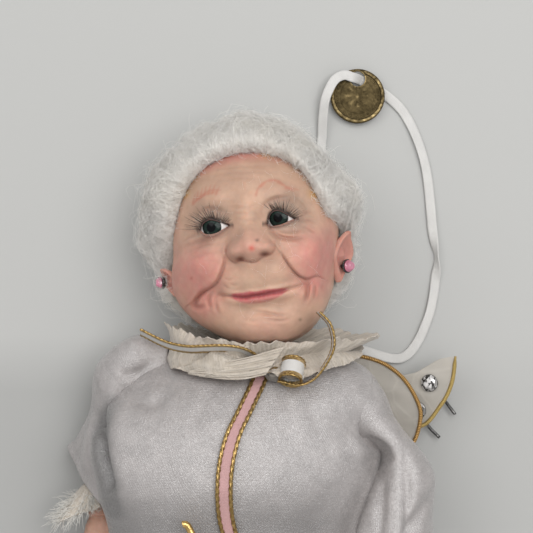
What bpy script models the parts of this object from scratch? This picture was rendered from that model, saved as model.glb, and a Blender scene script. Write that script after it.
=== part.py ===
"""Hanging fairy doll, lying on its back: +Z up from the floor, +Y toward the head, +X to the viewer's right.

The origin is in the middle of the flat back of the gown. Sizes are in millimetres, from the shoulder line.
"""

import math

import bmesh
import bpy
import numpy as np
from mathutils import Matrix, Vector

MM = 0.001
GAP = 0.3
BACK_REST = 62.0

# Head
HEAD_WIDTH = 50.0
HEAD_HEIGHT = 62.0
HEAD_DEPTH = 48.0
HEAD_ROLL = 8.0
HEAD_YAW = -5.0
CHIN_RISE = 5.0
NOSE_LENGTH = 8.5
FACE_DENSITY = 0.5
EYE_DIAMETER = 11.8
EYE_SPACING = 19.2
EYE_RISE = 5.0
EYE_SINK = 4.6
MOUTH_DROP = 15.4
EAR_HEIGHT = 17.0
EAR_DEPTH = 8.5
EAR_THICKNESS = 4.6
EAR_RISE = -8.0
NECK_RADIUS = 7.5
LASH_RADIUS = 0.35

# Hair
HAIR_BACK = 6.0
HAIR_SIDE = 6.5
HAIR_TOP = 5.5
FACE_OPENING_WIDTH = 47.0
FACE_OPENING_HEIGHT = 57.0

# Earrings
GEM_DIAMETER = 3.6
GEM_DEPTH = 2.4
POST_DIAMETER = 1.0
POST_LENGTH = 4.2
POST_SEAT = 2.0

# Gown, sleeves and stuffing
CLOTH = 0.8
GOWN_LENGTH = 185.0
NECK_OPENING = 25.0
CHEST_WIDTH = 72.0
CHEST_FRONT = 50.0
HEM_WIDTH = 118.0
HEM_FRONT = 47.0
NECK_HEIGHT = 24.0
FRONT_DRIFT = 6.6
FOLDS = 9
FOLD_DEPTH = 0.075
SLEEVE_HEAD = 10.5
LEFT_SHOULDER = Vector((-36.0, -5.0, 19.0))
RIGHT_SHOULDER = Vector((33.0, -14.0, 27.0))
STUFFING_GAP = 0.8
TORSO_LENGTH = 100.0
HIP_SPREAD = 26.0
HIP_GAP = 8.0

# Wire frame, arms and legs
SPINE_RADIUS = 2.0
BAR_RADIUS = 1.4
BALL_RADIUS = 2.2
ARM_WIRE = 1.25
FOREARM_RADIUS = 3.6
LEG_RADIUS = 8.0
ANKLE_RADIUS = 4.8
LEG_LENGTH = 92.0
SHOE_LENGTH = 30.0

# Ribbons, collar and bow
TRIM_WIDTH = 6.2
FRONT_WIDTH = 4.8
RIBBON = 0.4
KNOT_HEIGHT = 44.3
LOOP_RADIUS = 3.0
COLLAR_SHEET = 0.6
COLLAR_REACH = 30.5
RUFFLES = 11
HANGER_WIDTH = 3.0

# Wings
MEMBRANE = 0.5
RIM_RADIUS = 0.6
WING_LENGTH = 53.7
WING_ROOT = 7.0
STONE_DIAMETER = 4.6
STONE_DEPTH = 2.2
STONE_POST = 0.6
WING_TIP = (WING_ROOT + WING_LENGTH, 0.3)
STONE_POST_TAIL = {-1: 0.6, 1: 2.4}
WING_SHARE = {-1: 0.68, 1: 1.0}
WING_MIDDLE = -4.0
STONES = {-1: ((53.3, -8.2), (53.0, -15.8)), 1: ((53.3, -8.2), (49.8, -16.8))}
WING_EDGES = {
    "front": (
        ((WING_ROOT, -2.6), (20.0, 0.6), (35.0, -0.8), (43.6, -5.5), (48.6, -13.0), (49.6, -19.0)),
        ((WING_ROOT, -5.6), (20.0, -8.0), (32.0, -13.0), (41.5, -23.0), (47.0, -26.6), (49.6, -19.0)),
    ),
    "rear": (
        ((WING_ROOT, -2.0), (25.0, -4.0), (40.0, -6.4), (48.0, -6.1), (53.4, -3.7), (56.8, -1.5), WING_TIP),
        ((WING_ROOT, -5.6), (25, -9), (40, -18), (50.2, -21.8), (56.4, -15), (59.6, -8), WING_TIP),
    ),
}
WING_CUP = {
    ("front", 1): (3.3, 0.0076),
    ("rear", 1): (1.7, 0.0046),
    ("front", -1): (4.0, 0.0),
    ("rear", -1): (2.4, 0.0),
}

# Tag and wand
TAG_DIAMETER = 17.2
TAG_DEPTH = 1.4
TAG_RIM = 1.1
TAG_HOLE = 2.4
TAG_HOLE_OFFSET = 5.5
WAND_RADIUS = 1.0
WAND_BEND = 1.3
WAND_CROOK = (-20.5, -45.0, 55.0)

# Places worked out from the sizes above
HEAD_CENTRE = Vector((0.0, CHIN_RISE + HEAD_HEIGHT / 2, HAIR_BACK + HEAD_DEPTH / 2))
TO_HEAD = Matrix.Rotation(math.radians(HEAD_ROLL), 4, "Z") @ Matrix.Rotation(math.radians(HEAD_YAW), 4, "Y")
HEAD_PLACE = Matrix.Translation(HEAD_CENTRE * MM) @ TO_HEAD
HIP_DROP = TORSO_LENGTH + HIP_GAP

COLOURS = {
    "clay": ((0.62, 0.40, 0.29), 0.55, 0.0),
    "eye_glass": ((0.10, 0.13, 0.09), 0.08, 0.0),
    "lash": ((0.02, 0.02, 0.02), 0.7, 0.0),
    "wool": ((0.80, 0.78, 0.72), 0.95, 0.0),
    "gem": ((0.62, 0.22, 0.28), 0.1, 0.0),
    "dark_metal": ((0.12, 0.11, 0.10), 0.35, 1.0),
    "satin": ((0.60, 0.57, 0.61), 0.4, 0.0),
    "stuffing": ((0.75, 0.73, 0.68), 0.9, 0.0),
    "wire": ((0.45, 0.45, 0.46), 0.35, 1.0),
    "lace": ((0.70, 0.66, 0.58), 0.9, 0.0),
    "white_ribbon": ((0.80, 0.80, 0.78), 0.4, 0.0),
    "pink_ribbon": ((0.62, 0.42, 0.42), 0.5, 0.0),
    "membrane": ((0.52, 0.50, 0.46), 0.45, 0.0),
    "gold_cord": ((0.45, 0.27, 0.10), 0.4, 0.6),
    "rhinestone": ((0.70, 0.70, 0.72), 0.08, 0.3),
    "brass": ((0.35, 0.27, 0.16), 0.4, 1.0),
    "gold": ((0.62, 0.42, 0.18), 0.3, 1.0),
}


def start():
    """Empty the scene and make the collections for the pieces and for the helpers that cut or join them."""
    for obj in list(bpy.data.objects):
        bpy.data.objects.remove(obj, do_unlink=True)
    pieces = bpy.data.collections.new("hanging_fairy_doll")
    helpers = bpy.data.collections.new("helpers")
    bpy.context.scene.collection.children.link(pieces)
    bpy.context.scene.collection.children.link(helpers)
    return pieces, helpers


PIECES, HELPERS = start()


def material(name, finish):
    """A Principled material of its own for one piece."""
    colour, roughness, metallic = COLOURS[finish]
    made = bpy.data.materials.new(name)
    made.use_nodes = True
    shader = made.node_tree.nodes["Principled BSDF"]
    shader.inputs["Base Color"].default_value = (*colour, 1.0)
    shader.inputs["Roughness"].default_value = roughness
    shader.inputs["Metallic"].default_value = metallic
    return made


def add(name, data, finish=None):
    """Link an object: a piece when it has a finish, otherwise a hidden helper."""
    obj = bpy.data.objects.new(name, data)
    if finish is None:
        HELPERS.objects.link(obj)
        obj.hide_render = True
        obj.display_type = "WIRE"
    else:
        PIECES.objects.link(obj)
        data.materials.append(material(name, finish))
    return obj


def mesh_from(name, build):
    """A mesh filled by build(bm), in metres, with its faces turned outward."""
    bm = bmesh.new()
    build(bm)
    bmesh.ops.recalc_face_normals(bm, faces=bm.faces)
    mesh = bpy.data.meshes.new(name)
    bm.to_mesh(mesh)
    bm.free()
    return mesh


def ball_mesh(name, centre, radii, around=16, rings=10):
    """An ellipsoid with its poles along Z."""
    place = Matrix.Translation(Vector(centre) * MM) @ Matrix.Diagonal((*(Vector(radii) * MM), 1.0))

    def build(bm):
        bmesh.ops.create_uvsphere(bm, u_segments=around, v_segments=rings, radius=1.0, matrix=place)

    return mesh_from(name, build)


def rod_mesh(name, start_point, end_point, start_radius, end_radius=None, around=16):
    """A straight rod or cone between two points."""
    a, b = Vector(start_point) * MM, Vector(end_point) * MM
    turn = (b - a).to_track_quat("Z", "Y").to_matrix().to_4x4()
    place = Matrix.Translation((a + b) / 2) @ turn
    end_radius = start_radius if end_radius is None else end_radius

    def build(bm):
        bmesh.ops.create_cone(
            bm,
            cap_ends=True,
            segments=around,
            radius1=start_radius * MM,
            radius2=end_radius * MM,
            depth=(b - a).length,
            matrix=place,
        )

    return mesh_from(name, build)


def loft_mesh(name, rings, joined=False):
    """Quads between rings of equal count: capped at both ends, or the last ring joined to the first."""

    def build(bm):
        loops = [[bm.verts.new(Vector(p) * MM) for p in ring] for ring in rings]
        pairs = list(zip(loops, loops[1:]))
        if joined:
            pairs.append((loops[-1], loops[0]))
        else:
            bm.faces.new(loops[0])
            bm.faces.new(loops[-1])
        for low, high in pairs:
            for i in range(len(low)):
                j = (i + 1) % len(low)
                bm.faces.new((low[i], low[j], high[j], high[i]))

    return mesh_from(name, build)


def smooth_path(points, count):
    """Evenly spaced points on a smooth curve through the given ones."""
    pts = np.array([tuple(p) for p in points], float)
    pts = np.vstack([2 * pts[:1] - pts[1:2], pts, 2 * pts[-1:] - pts[-2:-1]])
    fine = []
    for a, b, c, d in zip(pts, pts[1:], pts[2:], pts[3:]):
        t = np.linspace(0, 1, 24, endpoint=False)[:, None]
        square = 2 * a - 5 * b + 4 * c - d
        cube = 3 * b - a - 3 * c + d
        fine.append(0.5 * (2 * b + (c - a) * t + square * t**2 + cube * t**3))
    fine = np.vstack(fine + [pts[-2:-1]])
    along = np.concatenate([[0], np.cumsum(np.linalg.norm(np.diff(fine, axis=0), axis=1))])
    at = np.linspace(0, along[-1], count)
    return np.stack([np.interp(at, along, fine[:, k]) for k in range(fine.shape[1])], axis=1)


def tube_curve(name, points, radius, shares=None, resolution=2):
    """A round tube along points, with a share of the radius at each point."""
    curve = bpy.data.curves.new(name, "CURVE")
    curve.dimensions = "3D"
    curve.bevel_depth = radius * MM
    curve.bevel_resolution = resolution
    curve.use_fill_caps = True
    spline = curve.splines.new("POLY")
    spline.points.add(len(points) - 1)
    for i, point in enumerate(points):
        spline.points[i].co = (*(Vector(point) * MM), 1.0)
        spline.points[i].radius = 1.0 if shares is None else shares[i]
    return curve


def tube_mesh(name, points, radius, shares=None, resolution=2):
    """The same tube as a welded mesh, for joining and cutting."""
    curve = tube_curve(name + "_path", points, radius, shares, resolution=resolution)
    guide = bpy.data.objects.new(name + "_path", curve)
    HELPERS.objects.link(guide)
    graph = bpy.context.evaluated_depsgraph_get()
    mesh = bpy.data.meshes.new_from_object(guide.evaluated_get(graph))
    bpy.data.objects.remove(guide)
    bm = bmesh.new()
    bm.from_mesh(mesh)
    bmesh.ops.remove_doubles(bm, verts=bm.verts, dist=1e-6)
    bmesh.ops.recalc_face_normals(bm, faces=bm.faces)
    bm.to_mesh(mesh)
    bm.free()
    return mesh


def combine(obj, operation, helper):
    """Cut a helper from a piece, or join it on."""
    step = obj.modifiers.new(f"{operation.lower()}_{helper.name}", "BOOLEAN")
    step.operation = operation
    step.solver = "EXACT"
    step.object = helper


def cut(obj, *helpers):
    for helper in helpers:
        combine(obj, "DIFFERENCE", helper)


def join(obj, *helpers):
    for helper in helpers:
        combine(obj, "UNION", helper)


def smooth_values(x, xs, ys):
    """A smooth curve through the stations xs, ys, read at x."""
    xs, ys = np.asarray(xs, float), np.asarray(ys, float)
    slopes = np.gradient(ys, xs)
    i = int(np.clip(np.searchsorted(xs, x) - 1, 0, len(xs) - 2))
    h = xs[i + 1] - xs[i]
    t = (x - xs[i]) / h
    return (
        (2 * t**3 - 3 * t**2 + 1) * ys[i]
        + (t**3 - 2 * t**2 + t) * h * slopes[i]
        + (3 * t**2 - 2 * t**3) * ys[i + 1]
        + (t**3 - t**2) * h * slopes[i + 1]
    )


# Face strokes: middle across and up, reach across and up, push out, push aside
STROKES = (
    (0.0, -1.5, 4.6, 5.2, NOSE_LENGTH, 0.0),
    (0.0, 6.0, 2.8, 7.0, 2.4, 0.0),
    (4.6, -3.6, 2.7, 2.8, 3.2, 0.4),
    (EYE_SPACING / 2, EYE_RISE, 5.0, 4.2, -1.6, 0.0),
    (EYE_SPACING / 2, EYE_RISE + 7.5, 6.5, 3.2, 1.5, 0.0),
    (15.5, -7.0, 7.5, 7.0, 4.6, 1.2),
    (0.0, -MOUTH_DROP + 1.9, 7.0, 1.8, 1.7, 0.0),
    (0.0, -MOUTH_DROP, 9.5, 0.8, -1.6, 0.0),
    (0.0, -MOUTH_DROP - 2.0, 6.0, 2.0, 1.7, 0.0),
    (0.0, -25.0, 7.0, 5.0, 4.2, 0.0),
    (8.4, -9.0, 1.6, 5.5, -1.2, 0.0),
    (EYE_SPACING / 2, EYE_RISE + 5.4, 5.5, 1.4, 0.9, 0.0),
    (EYE_SPACING / 2, EYE_RISE - 5.6, 4.6, 1.4, 0.8, 0.0),
)


def sculpt(points):
    """Push the front of the head by each stroke, mirrored across the middle, fading out round the sides."""
    out = points.copy()
    front = np.clip(points[:, 2] / (0.25 * HEAD_DEPTH), 0, 1)
    for x, y, wide, high, push, aside in STROKES:
        for side in (1, -1) if x else (1,):
            share = np.exp(-(((points[:, 0] - side * x) / wide) ** 2) - ((points[:, 1] - y) / high) ** 2)
            out[:, 2] += push * front * share
            out[:, 0] += side * aside * front * share
    return out


def head_form(grow, around, rings):
    """The modelled head without ears, grown outward by a clearance."""
    half = np.array((HEAD_WIDTH, HEAD_HEIGHT, HEAD_DEPTH)) / 2

    def build(bm):
        bmesh.ops.create_uvsphere(bm, u_segments=around, v_segments=rings, radius=1.0)
        pole = np.array([v.co for v in bm.verts])
        turn = np.arctan2(pole[:, 0], pole[:, 1])
        turn = turn - FACE_DENSITY * np.sin(turn)
        level = np.hypot(pole[:, 0], pole[:, 1])
        unit = np.stack([level * np.sin(turn), pole[:, 2], level * np.cos(turn)], axis=1)
        made = sculpt(unit * half)
        made += grow * unit / np.linalg.norm(unit, axis=1)[:, None]
        for vert, point in zip(bm.verts, made):
            vert.co = Vector(point) * MM

    return mesh_from("head_form", build)


def face_height(x, y):
    """Height of the modelled face over the middle of the head at one place."""
    inside = 1 - (2 * x / HEAD_WIDTH) ** 2 - (2 * y / HEAD_HEIGHT) ** 2
    flat = np.array([[x, y, HEAD_DEPTH / 2 * math.sqrt(max(inside, 0.0))]])
    return float(sculpt(flat)[0, 2])


def ear_mesh(name, side, grow=0.0):
    """A flat pointed ear, drawn up to its tip and leaning out from the head."""

    def build(bm):
        bmesh.ops.create_uvsphere(bm, u_segments=10, v_segments=8, radius=1.0)
        size = np.array((EAR_THICKNESS, EAR_HEIGHT, EAR_DEPTH)) / 2 + grow
        for vert in bm.verts:
            rise = max(vert.co.y, 0.0)
            narrow = 1 - 0.45 * rise
            point = Vector((vert.co.x * size[0] * narrow, vert.co.y * size[1], vert.co.z * size[2] * narrow))
            point.x += side * 1.6 * rise
            vert.co = (point + Vector((side * (HEAD_WIDTH / 2 - 0.2), EAR_RISE, -2.0))) * MM

    return mesh_from(name, build)


def ear_lobe(side):
    return Vector((side * (HEAD_WIDTH / 2 + EAR_THICKNESS / 2 - 1.2), EAR_RISE - 0.125 * EAR_HEIGHT, -1.0))


def placed(obj, matrix=HEAD_PLACE):
    obj.matrix_world = matrix
    return obj


def make_head():
    """Head with ears and neck, eyes in sockets, lashes, earrings, and the wool hair round them."""
    head = placed(add("head", head_form(0.0, 42, 34), "clay"))
    neck_top = Vector((0, CHIN_RISE + 14.0, NECK_HEIGHT))
    neck_foot = Vector((0, -0.6, NECK_HEIGHT))
    join(head, add("neck_form", rod_mesh("neck_form", neck_foot, neck_top, NECK_RADIUS, around=14)))
    for side, word in ((-1, "left"), (1, "right")):
        join(head, placed(add(f"ear_form_{word}", ear_mesh(f"ear_form_{word}", side))))
        middle = Vector((side * EYE_SPACING / 2, EYE_RISE, face_height(EYE_SPACING / 2, EYE_RISE) - EYE_SINK))
        radius = EYE_DIAMETER / 2
        socket = ball_mesh(f"socket_{word}", middle, (radius + GAP,) * 3, 18, 12)
        cut(head, placed(add(f"socket_{word}", socket)))
        placed(add(f"eye_{word}", ball_mesh(f"eye_{word}", middle, (radius,) * 3, 16, 10), "eye_glass"))
        lid = []
        for angle in np.linspace(math.radians(25), math.radians(155), 9):
            x = middle.x + 4.9 * math.cos(angle)
            y = middle.y + 4.5 * math.sin(angle)
            lid.append((x, y, face_height(x, y) + LASH_RADIUS + 2 * GAP))
        lashes = tube_curve(f"lash_band_{word}", lid, LASH_RADIUS, resolution=1)
        placed(add(f"lash_band_{word}", lashes, "lash"))
        lobe = ear_lobe(side)
        out = Vector((side, 0, 0.25)).normalized()
        seat = lobe - out * (POST_SEAT + GAP)
        bore = rod_mesh(f"bore_{word}", seat, lobe + out * 4, POST_DIAMETER / 2 + GAP, around=12)
        cut(head, placed(add(f"bore_{word}", bore)))
        tip = lobe + out * (POST_LENGTH - POST_SEAT)
        post = rod_mesh(f"earring_post_{word}", lobe - out * POST_SEAT, tip, POST_DIAMETER / 2, around=10)
        placed(add(f"earring_post_{word}", post, "dark_metal"))
        back = tip + out * GAP
        front = back + out * GEM_DEPTH
        gem = rod_mesh(f"earring_gem_{word}", back, front, GEM_DIAMETER / 2, GEM_DIAMETER / 4, 8)
        placed(add(f"earring_gem_{word}", gem, "gem"))
    spine_top = Vector((0, CHIN_RISE + 8.0 + GAP, NECK_HEIGHT))
    below = neck_foot - Vector((0, 1, 0))
    cut(head, add("neck_bore", rod_mesh("neck_bore", below, spine_top, SPINE_RADIUS + GAP)))
    make_hair()


def make_hair():
    """A wool cap round the head with an opening for the face and room for the ears, flat where it lies."""
    half = Vector((HEAD_WIDTH / 2 + HAIR_SIDE, HEAD_HEIGHT / 2 + HAIR_TOP, HEAD_DEPTH / 2 + HAIR_BACK))

    def build(bm):
        bmesh.ops.create_uvsphere(bm, u_segments=30, v_segments=16, radius=1.0)
        for vert in bm.verts:
            u = vert.co
            puff = 1 + 0.025 * math.sin(7 * math.atan2(u.y, u.x) + 3 * u.z)
            vert.co = Vector((u.x * half.x * puff, u.y * half.y * puff, u.z * half.z)) * MM

    hair = placed(add("hair", mesh_from("hair", build), "wool"))
    cut(hair, placed(add("head_room", head_form(2 * GAP, 28, 18))))

    def window(bm):
        bmesh.ops.create_cone(bm, cap_ends=True, segments=28, radius1=1.0, radius2=1.0, depth=1.0)
        for vert in bm.verts:
            z = 3.0 if vert.co.z < 0 else 60.0
            x = vert.co.x * FACE_OPENING_WIDTH / 2
            vert.co = Vector((x, vert.co.y * FACE_OPENING_HEIGHT / 2 - 4.0, z)) * MM

    cut(hair, placed(add("face_window", mesh_from("face_window", window))))

    def under(bm):
        tilt = Matrix.Rotation(math.radians(-32), 4, "X")
        place = Matrix.Translation(Vector((0, -36.0, 6.0)) * MM) @ tilt
        bmesh.ops.create_cube(bm, size=1.0, matrix=place @ Matrix.Diagonal((0.09, 0.05, 0.12, 1.0)))

    cut(hair, placed(add("under_hair", mesh_from("under_hair", under))))
    for side, word in ((-1, "left"), (1, "right")):
        room = ear_mesh(f"ear_room_{word}", side, 0.6)
        cut(hair, placed(add(f"ear_room_{word}", room)))
        lobe = ear_lobe(side)
        stud = ball_mesh(f"stud_room_{word}", lobe + Vector((side * 4, 0, 1)), (6.5, 4.5, 4.5), 10, 6)
        cut(hair, placed(add(f"stud_room_{word}", stud)))

    def floor(bm):
        place = Matrix.Translation((0, HEAD_CENTRE.y * MM, -0.1 + GAP * MM))
        bmesh.ops.create_cube(bm, size=0.2, matrix=place)

    cut(hair, add("floor_cut", mesh_from("floor_cut", floor)))


def gown_stations():
    """Distance along the gown, and its middle, half width, front height, back height and drift there."""
    along = (-1.0, 3.0, 9.0, 18.0, 32.0, 62.0, 98.0, 142.0, GOWN_LENGTH)
    neck, chest, hem = NECK_OPENING / 2, CHEST_WIDTH / 2, HEM_WIDTH / 2
    half = (neck, 0.74 * chest, 0.93 * chest, 0.98 * chest, chest, 1.03 * chest, 1.08 * chest, 0.8 * hem, hem)
    front_rise = (0.73, 0.81, 0.89, 0.96, 1.0, 1.0, 0.95, 0.0, 0.0)
    front = [share * CHEST_FRONT for share in front_rise]
    front[-2:] = [0.5 * (0.95 * CHEST_FRONT + HEM_FRONT) - 1.5, HEM_FRONT]
    back = (12.0, 7.0, 2.5, -3.0, -5.0, -5.0, -5.0, -5.0, -5.0)
    middle = (0.0, 0.0, -1.0, -2.8, -3.6, -3.6, -1.5, 0.0, 0.0)
    drift = (0.0, 0.15, 0.4, 0.75, 1.0, 0.9, 0.5, 0.1, 0.0)
    return along, half, front, back, middle, [FRONT_DRIFT * share for share in drift]


def gown_ring(along, inset=0.0, count=36):
    """One ring of the gown: a rounded oval, its front drifting aside, folded toward the hem, flat below."""
    stations = gown_stations()
    half, front, back, middle, drift = (smooth_values(along, stations[0], row) for row in stations[1:])
    angle = np.linspace(0, 2 * math.pi, count, endpoint=False)
    fall = np.clip((along - 80.0) / (GOWN_LENGTH - 80.0), 0, 1) ** 1.3
    fold = 1 + FOLD_DEPTH * fall * np.cos(FOLDS * angle + 0.6) * np.clip(np.sin(angle) + 0.6, 0, 1)
    centre, tall = (front + back) / 2, (front - back) / 2
    c, s = np.cos(angle), np.sin(angle)
    power = 0.86
    x = (half * fold - inset) * np.sign(c) * np.abs(c) ** power
    z = (tall * fold - inset) * np.sign(s) * np.abs(s) ** power
    x = middle + x - drift * z / tall
    z = np.maximum(centre + z, inset)
    return np.stack([x, np.full(count, -along), z], axis=1)


def gown_front(x, along, count=240):
    """Height of the gown's front at one place."""
    ring = gown_ring(along, count=count)
    ring = ring[: count // 2 + 1]
    order = np.argsort(ring[:, 0])
    return float(np.interp(x, ring[order, 0], ring[order, 2]))


def make_gown():
    """The satin gown as one shell with armholes, over the stuffed body."""
    rows = [-1.0, 2.5, 6.5, 12.0, 20.0, 34.0, 54.0, 78.0, 100.0, 122.0, 144.0, 165.0, GOWN_LENGTH]
    outer = [gown_ring(a) for a in rows]
    inner = [gown_ring(a, CLOTH) for a in reversed(rows)]
    gown = add("gown", loft_mesh("gown", outer + inner, joined=True), "satin")
    inset = CLOTH + STUFFING_GAP
    levels = [4.0, 7.0, 12.0, 20.0, 34.0, 55.0, 78.0, TORSO_LENGTH - 4.0, TORSO_LENGTH]
    shrink = [0.55, 0.85, 0.97, 1.0, 1.0, 1.0, 0.97, 0.86, 0.7]
    rings = []
    for a, share in zip(levels, shrink):
        ring = gown_ring(a, inset, 20)
        middle = ring.mean(axis=0)
        rings.append(middle + (ring - middle) * share)
    torso = add("stuffed_body", loft_mesh("stuffed_body", rings), "stuffing")
    for shoulder, word in ((LEFT_SHOULDER, "left"), (RIGHT_SHOULDER, "right")):
        hole = ball_mesh(f"armhole_{word}", shoulder, (SLEEVE_HEAD + 2 * GAP,) * 3, 18, 12)
        hole = add(f"armhole_{word}", hole)
        cut(gown, hole)
        cut(torso, hole)
    return torso


def make_frame(torso):
    """The wire frame in the body: a spine up into the neck, a shoulder bar and a hip bar with ball ends."""
    top = Vector((0, CHIN_RISE + 8.0, NECK_HEIGHT))
    spine = [top, (0, -10, NECK_HEIGHT), (0, -60, 22), (0, -TORSO_LENGTH - 3.0, 21)]
    hips = [Vector((side * HIP_SPREAD / 2, -HIP_DROP, 20)) for side in (-1, 1)]
    shoulders = [LEFT_SHOULDER, (-14, -17, 21), (0, -20, 23), (13, -19, 24), RIGHT_SHOULDER]
    hip_bar = [hips[0], (-8, -TORSO_LENGTH - 2.0, 20.5), (8, -TORSO_LENGTH - 2.0, 20.5), hips[1]]
    routes = (
        ("spine", spine, SPINE_RADIUS),
        ("shoulder_bar", shoulders, BAR_RADIUS),
        ("hip_bar", hip_bar, BAR_RADIUS),
    )
    frame = None
    for name, route, radius in routes:
        points = smooth_path(route, 7)
        if frame is None:
            frame = add("wire_frame", tube_mesh("wire_frame", points, radius, resolution=1), "wire")
        else:
            join(frame, add(f"{name}_form", tube_mesh(f"{name}_form", points, radius, resolution=1)))
        cut(torso, add(f"{name}_room", tube_mesh(f"{name}_room", points, radius + 2 * GAP, resolution=1)))
    for i, point in enumerate((LEFT_SHOULDER, RIGHT_SHOULDER, *hips)):
        join(frame, add(f"ball_form_{i}", ball_mesh(f"ball_form_{i}", point, (BALL_RADIUS,) * 3, 10, 6)))
    return hips


def sleeve(name, route, radii, rows=7, count=20):
    """A bell sleeve: an open shell of rings square to its route, pleated toward the hem."""
    path = smooth_path(route, rows)
    at = np.linspace(0, 1, len(radii))
    outer, inner = [], []
    for i, point in enumerate(path):
        share = i / (rows - 1)
        along = Vector(path[min(i + 1, rows - 1)] - path[max(i - 1, 0)]).normalized()
        side = along.cross(Vector((0, 0, 1))).normalized()
        lift = side.cross(along)
        radius = float(np.interp(share, at, radii))
        for ring, inset in ((outer, 0.0), (inner, CLOTH)):
            loop = []
            for angle in np.linspace(0, 2 * math.pi, count, endpoint=False).tolist():
                pleat = 1 + 0.08 * share**1.5 * math.cos(5 * angle)
                reach = radius * pleat - inset
                loop.append(Vector(point) + reach * (math.cos(angle) * side + math.sin(angle) * lift))
            ring.append(loop)
    return add(name, loft_mesh(name, outer + inner[::-1], joined=True), "satin")


def hand(name, forearm, across, fingers, thumb, grip=None):
    """A clay forearm and hand: arm, palm and fingers melted into one skin, with a bore for what it grips."""
    wrist = Vector(forearm[-1])
    along = (wrist - Vector(forearm[-2])).normalized()
    shapes = [tube_mesh(name + "_arm", smooth_path(forearm, 8), FOREARM_RADIUS, np.linspace(1.0, 0.82, 8))]
    palm = wrist + along * 4.5
    shapes.append(tube_mesh(name + "_palm", [wrist - along, palm, palm + along * 4.0], 3.9, (0.8, 1.0, 0.85)))
    across = Vector(across).normalized()
    for i, offset in enumerate((-3.0, -1.0, 1.0, 3.0)):
        root = palm + along * 3.0 + across * offset
        tips = [root + Vector(step) * (1.0 - 0.06 * abs(i - 1.3)) for step in fingers]
        points = smooth_path([root, *tips], 6)
        shapes.append(tube_mesh(f"{name}_finger_{i}", points, 1.5, np.linspace(1.0, 0.75, 6)))
    points = smooth_path([palm + Vector(step) for step in thumb], 6)
    shapes.append(tube_mesh(name + "_thumb", points, 1.6, np.linspace(1.0, 0.75, 6)))

    def build(bm):
        for shape in shapes:
            bm.from_mesh(shape)

    made = add(name, mesh_from(name, build), "clay")
    skin = made.modifiers.new("skin", "REMESH")
    skin.mode = "VOXEL"
    skin.voxel_size = 0.75 * MM
    thin = made.modifiers.new("thin", "DECIMATE")
    thin.ratio = 0.085
    if grip is not None:
        cut(made, add(name + "_grip", grip))
    return made


def cuff(name, middle, along, radius):
    """A gathered band of lace round a wrist, scalloped at its edge."""
    along = Vector(along).normalized()
    side = along.cross(Vector((0, 0, 1))).normalized()
    lift = side.cross(along)
    outer, inner = [], []
    for step in (0.0, 4.5, 9.0):
        for ring, inset in ((outer, 0.0), (inner, COLLAR_SHEET)):
            loop = []
            for angle in np.linspace(0, 2 * math.pi, 24, endpoint=False).tolist():
                reach = radius + 0.45 * step + 0.09 * step * math.cos(6 * angle) - inset
                spoke = math.cos(angle) * side + math.sin(angle) * lift
                loop.append(Vector(middle) + along * step + reach * spoke)
            ring.append(loop)
    return add(name, loft_mesh(name, outer + inner[::-1], joined=True), "lace")


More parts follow.
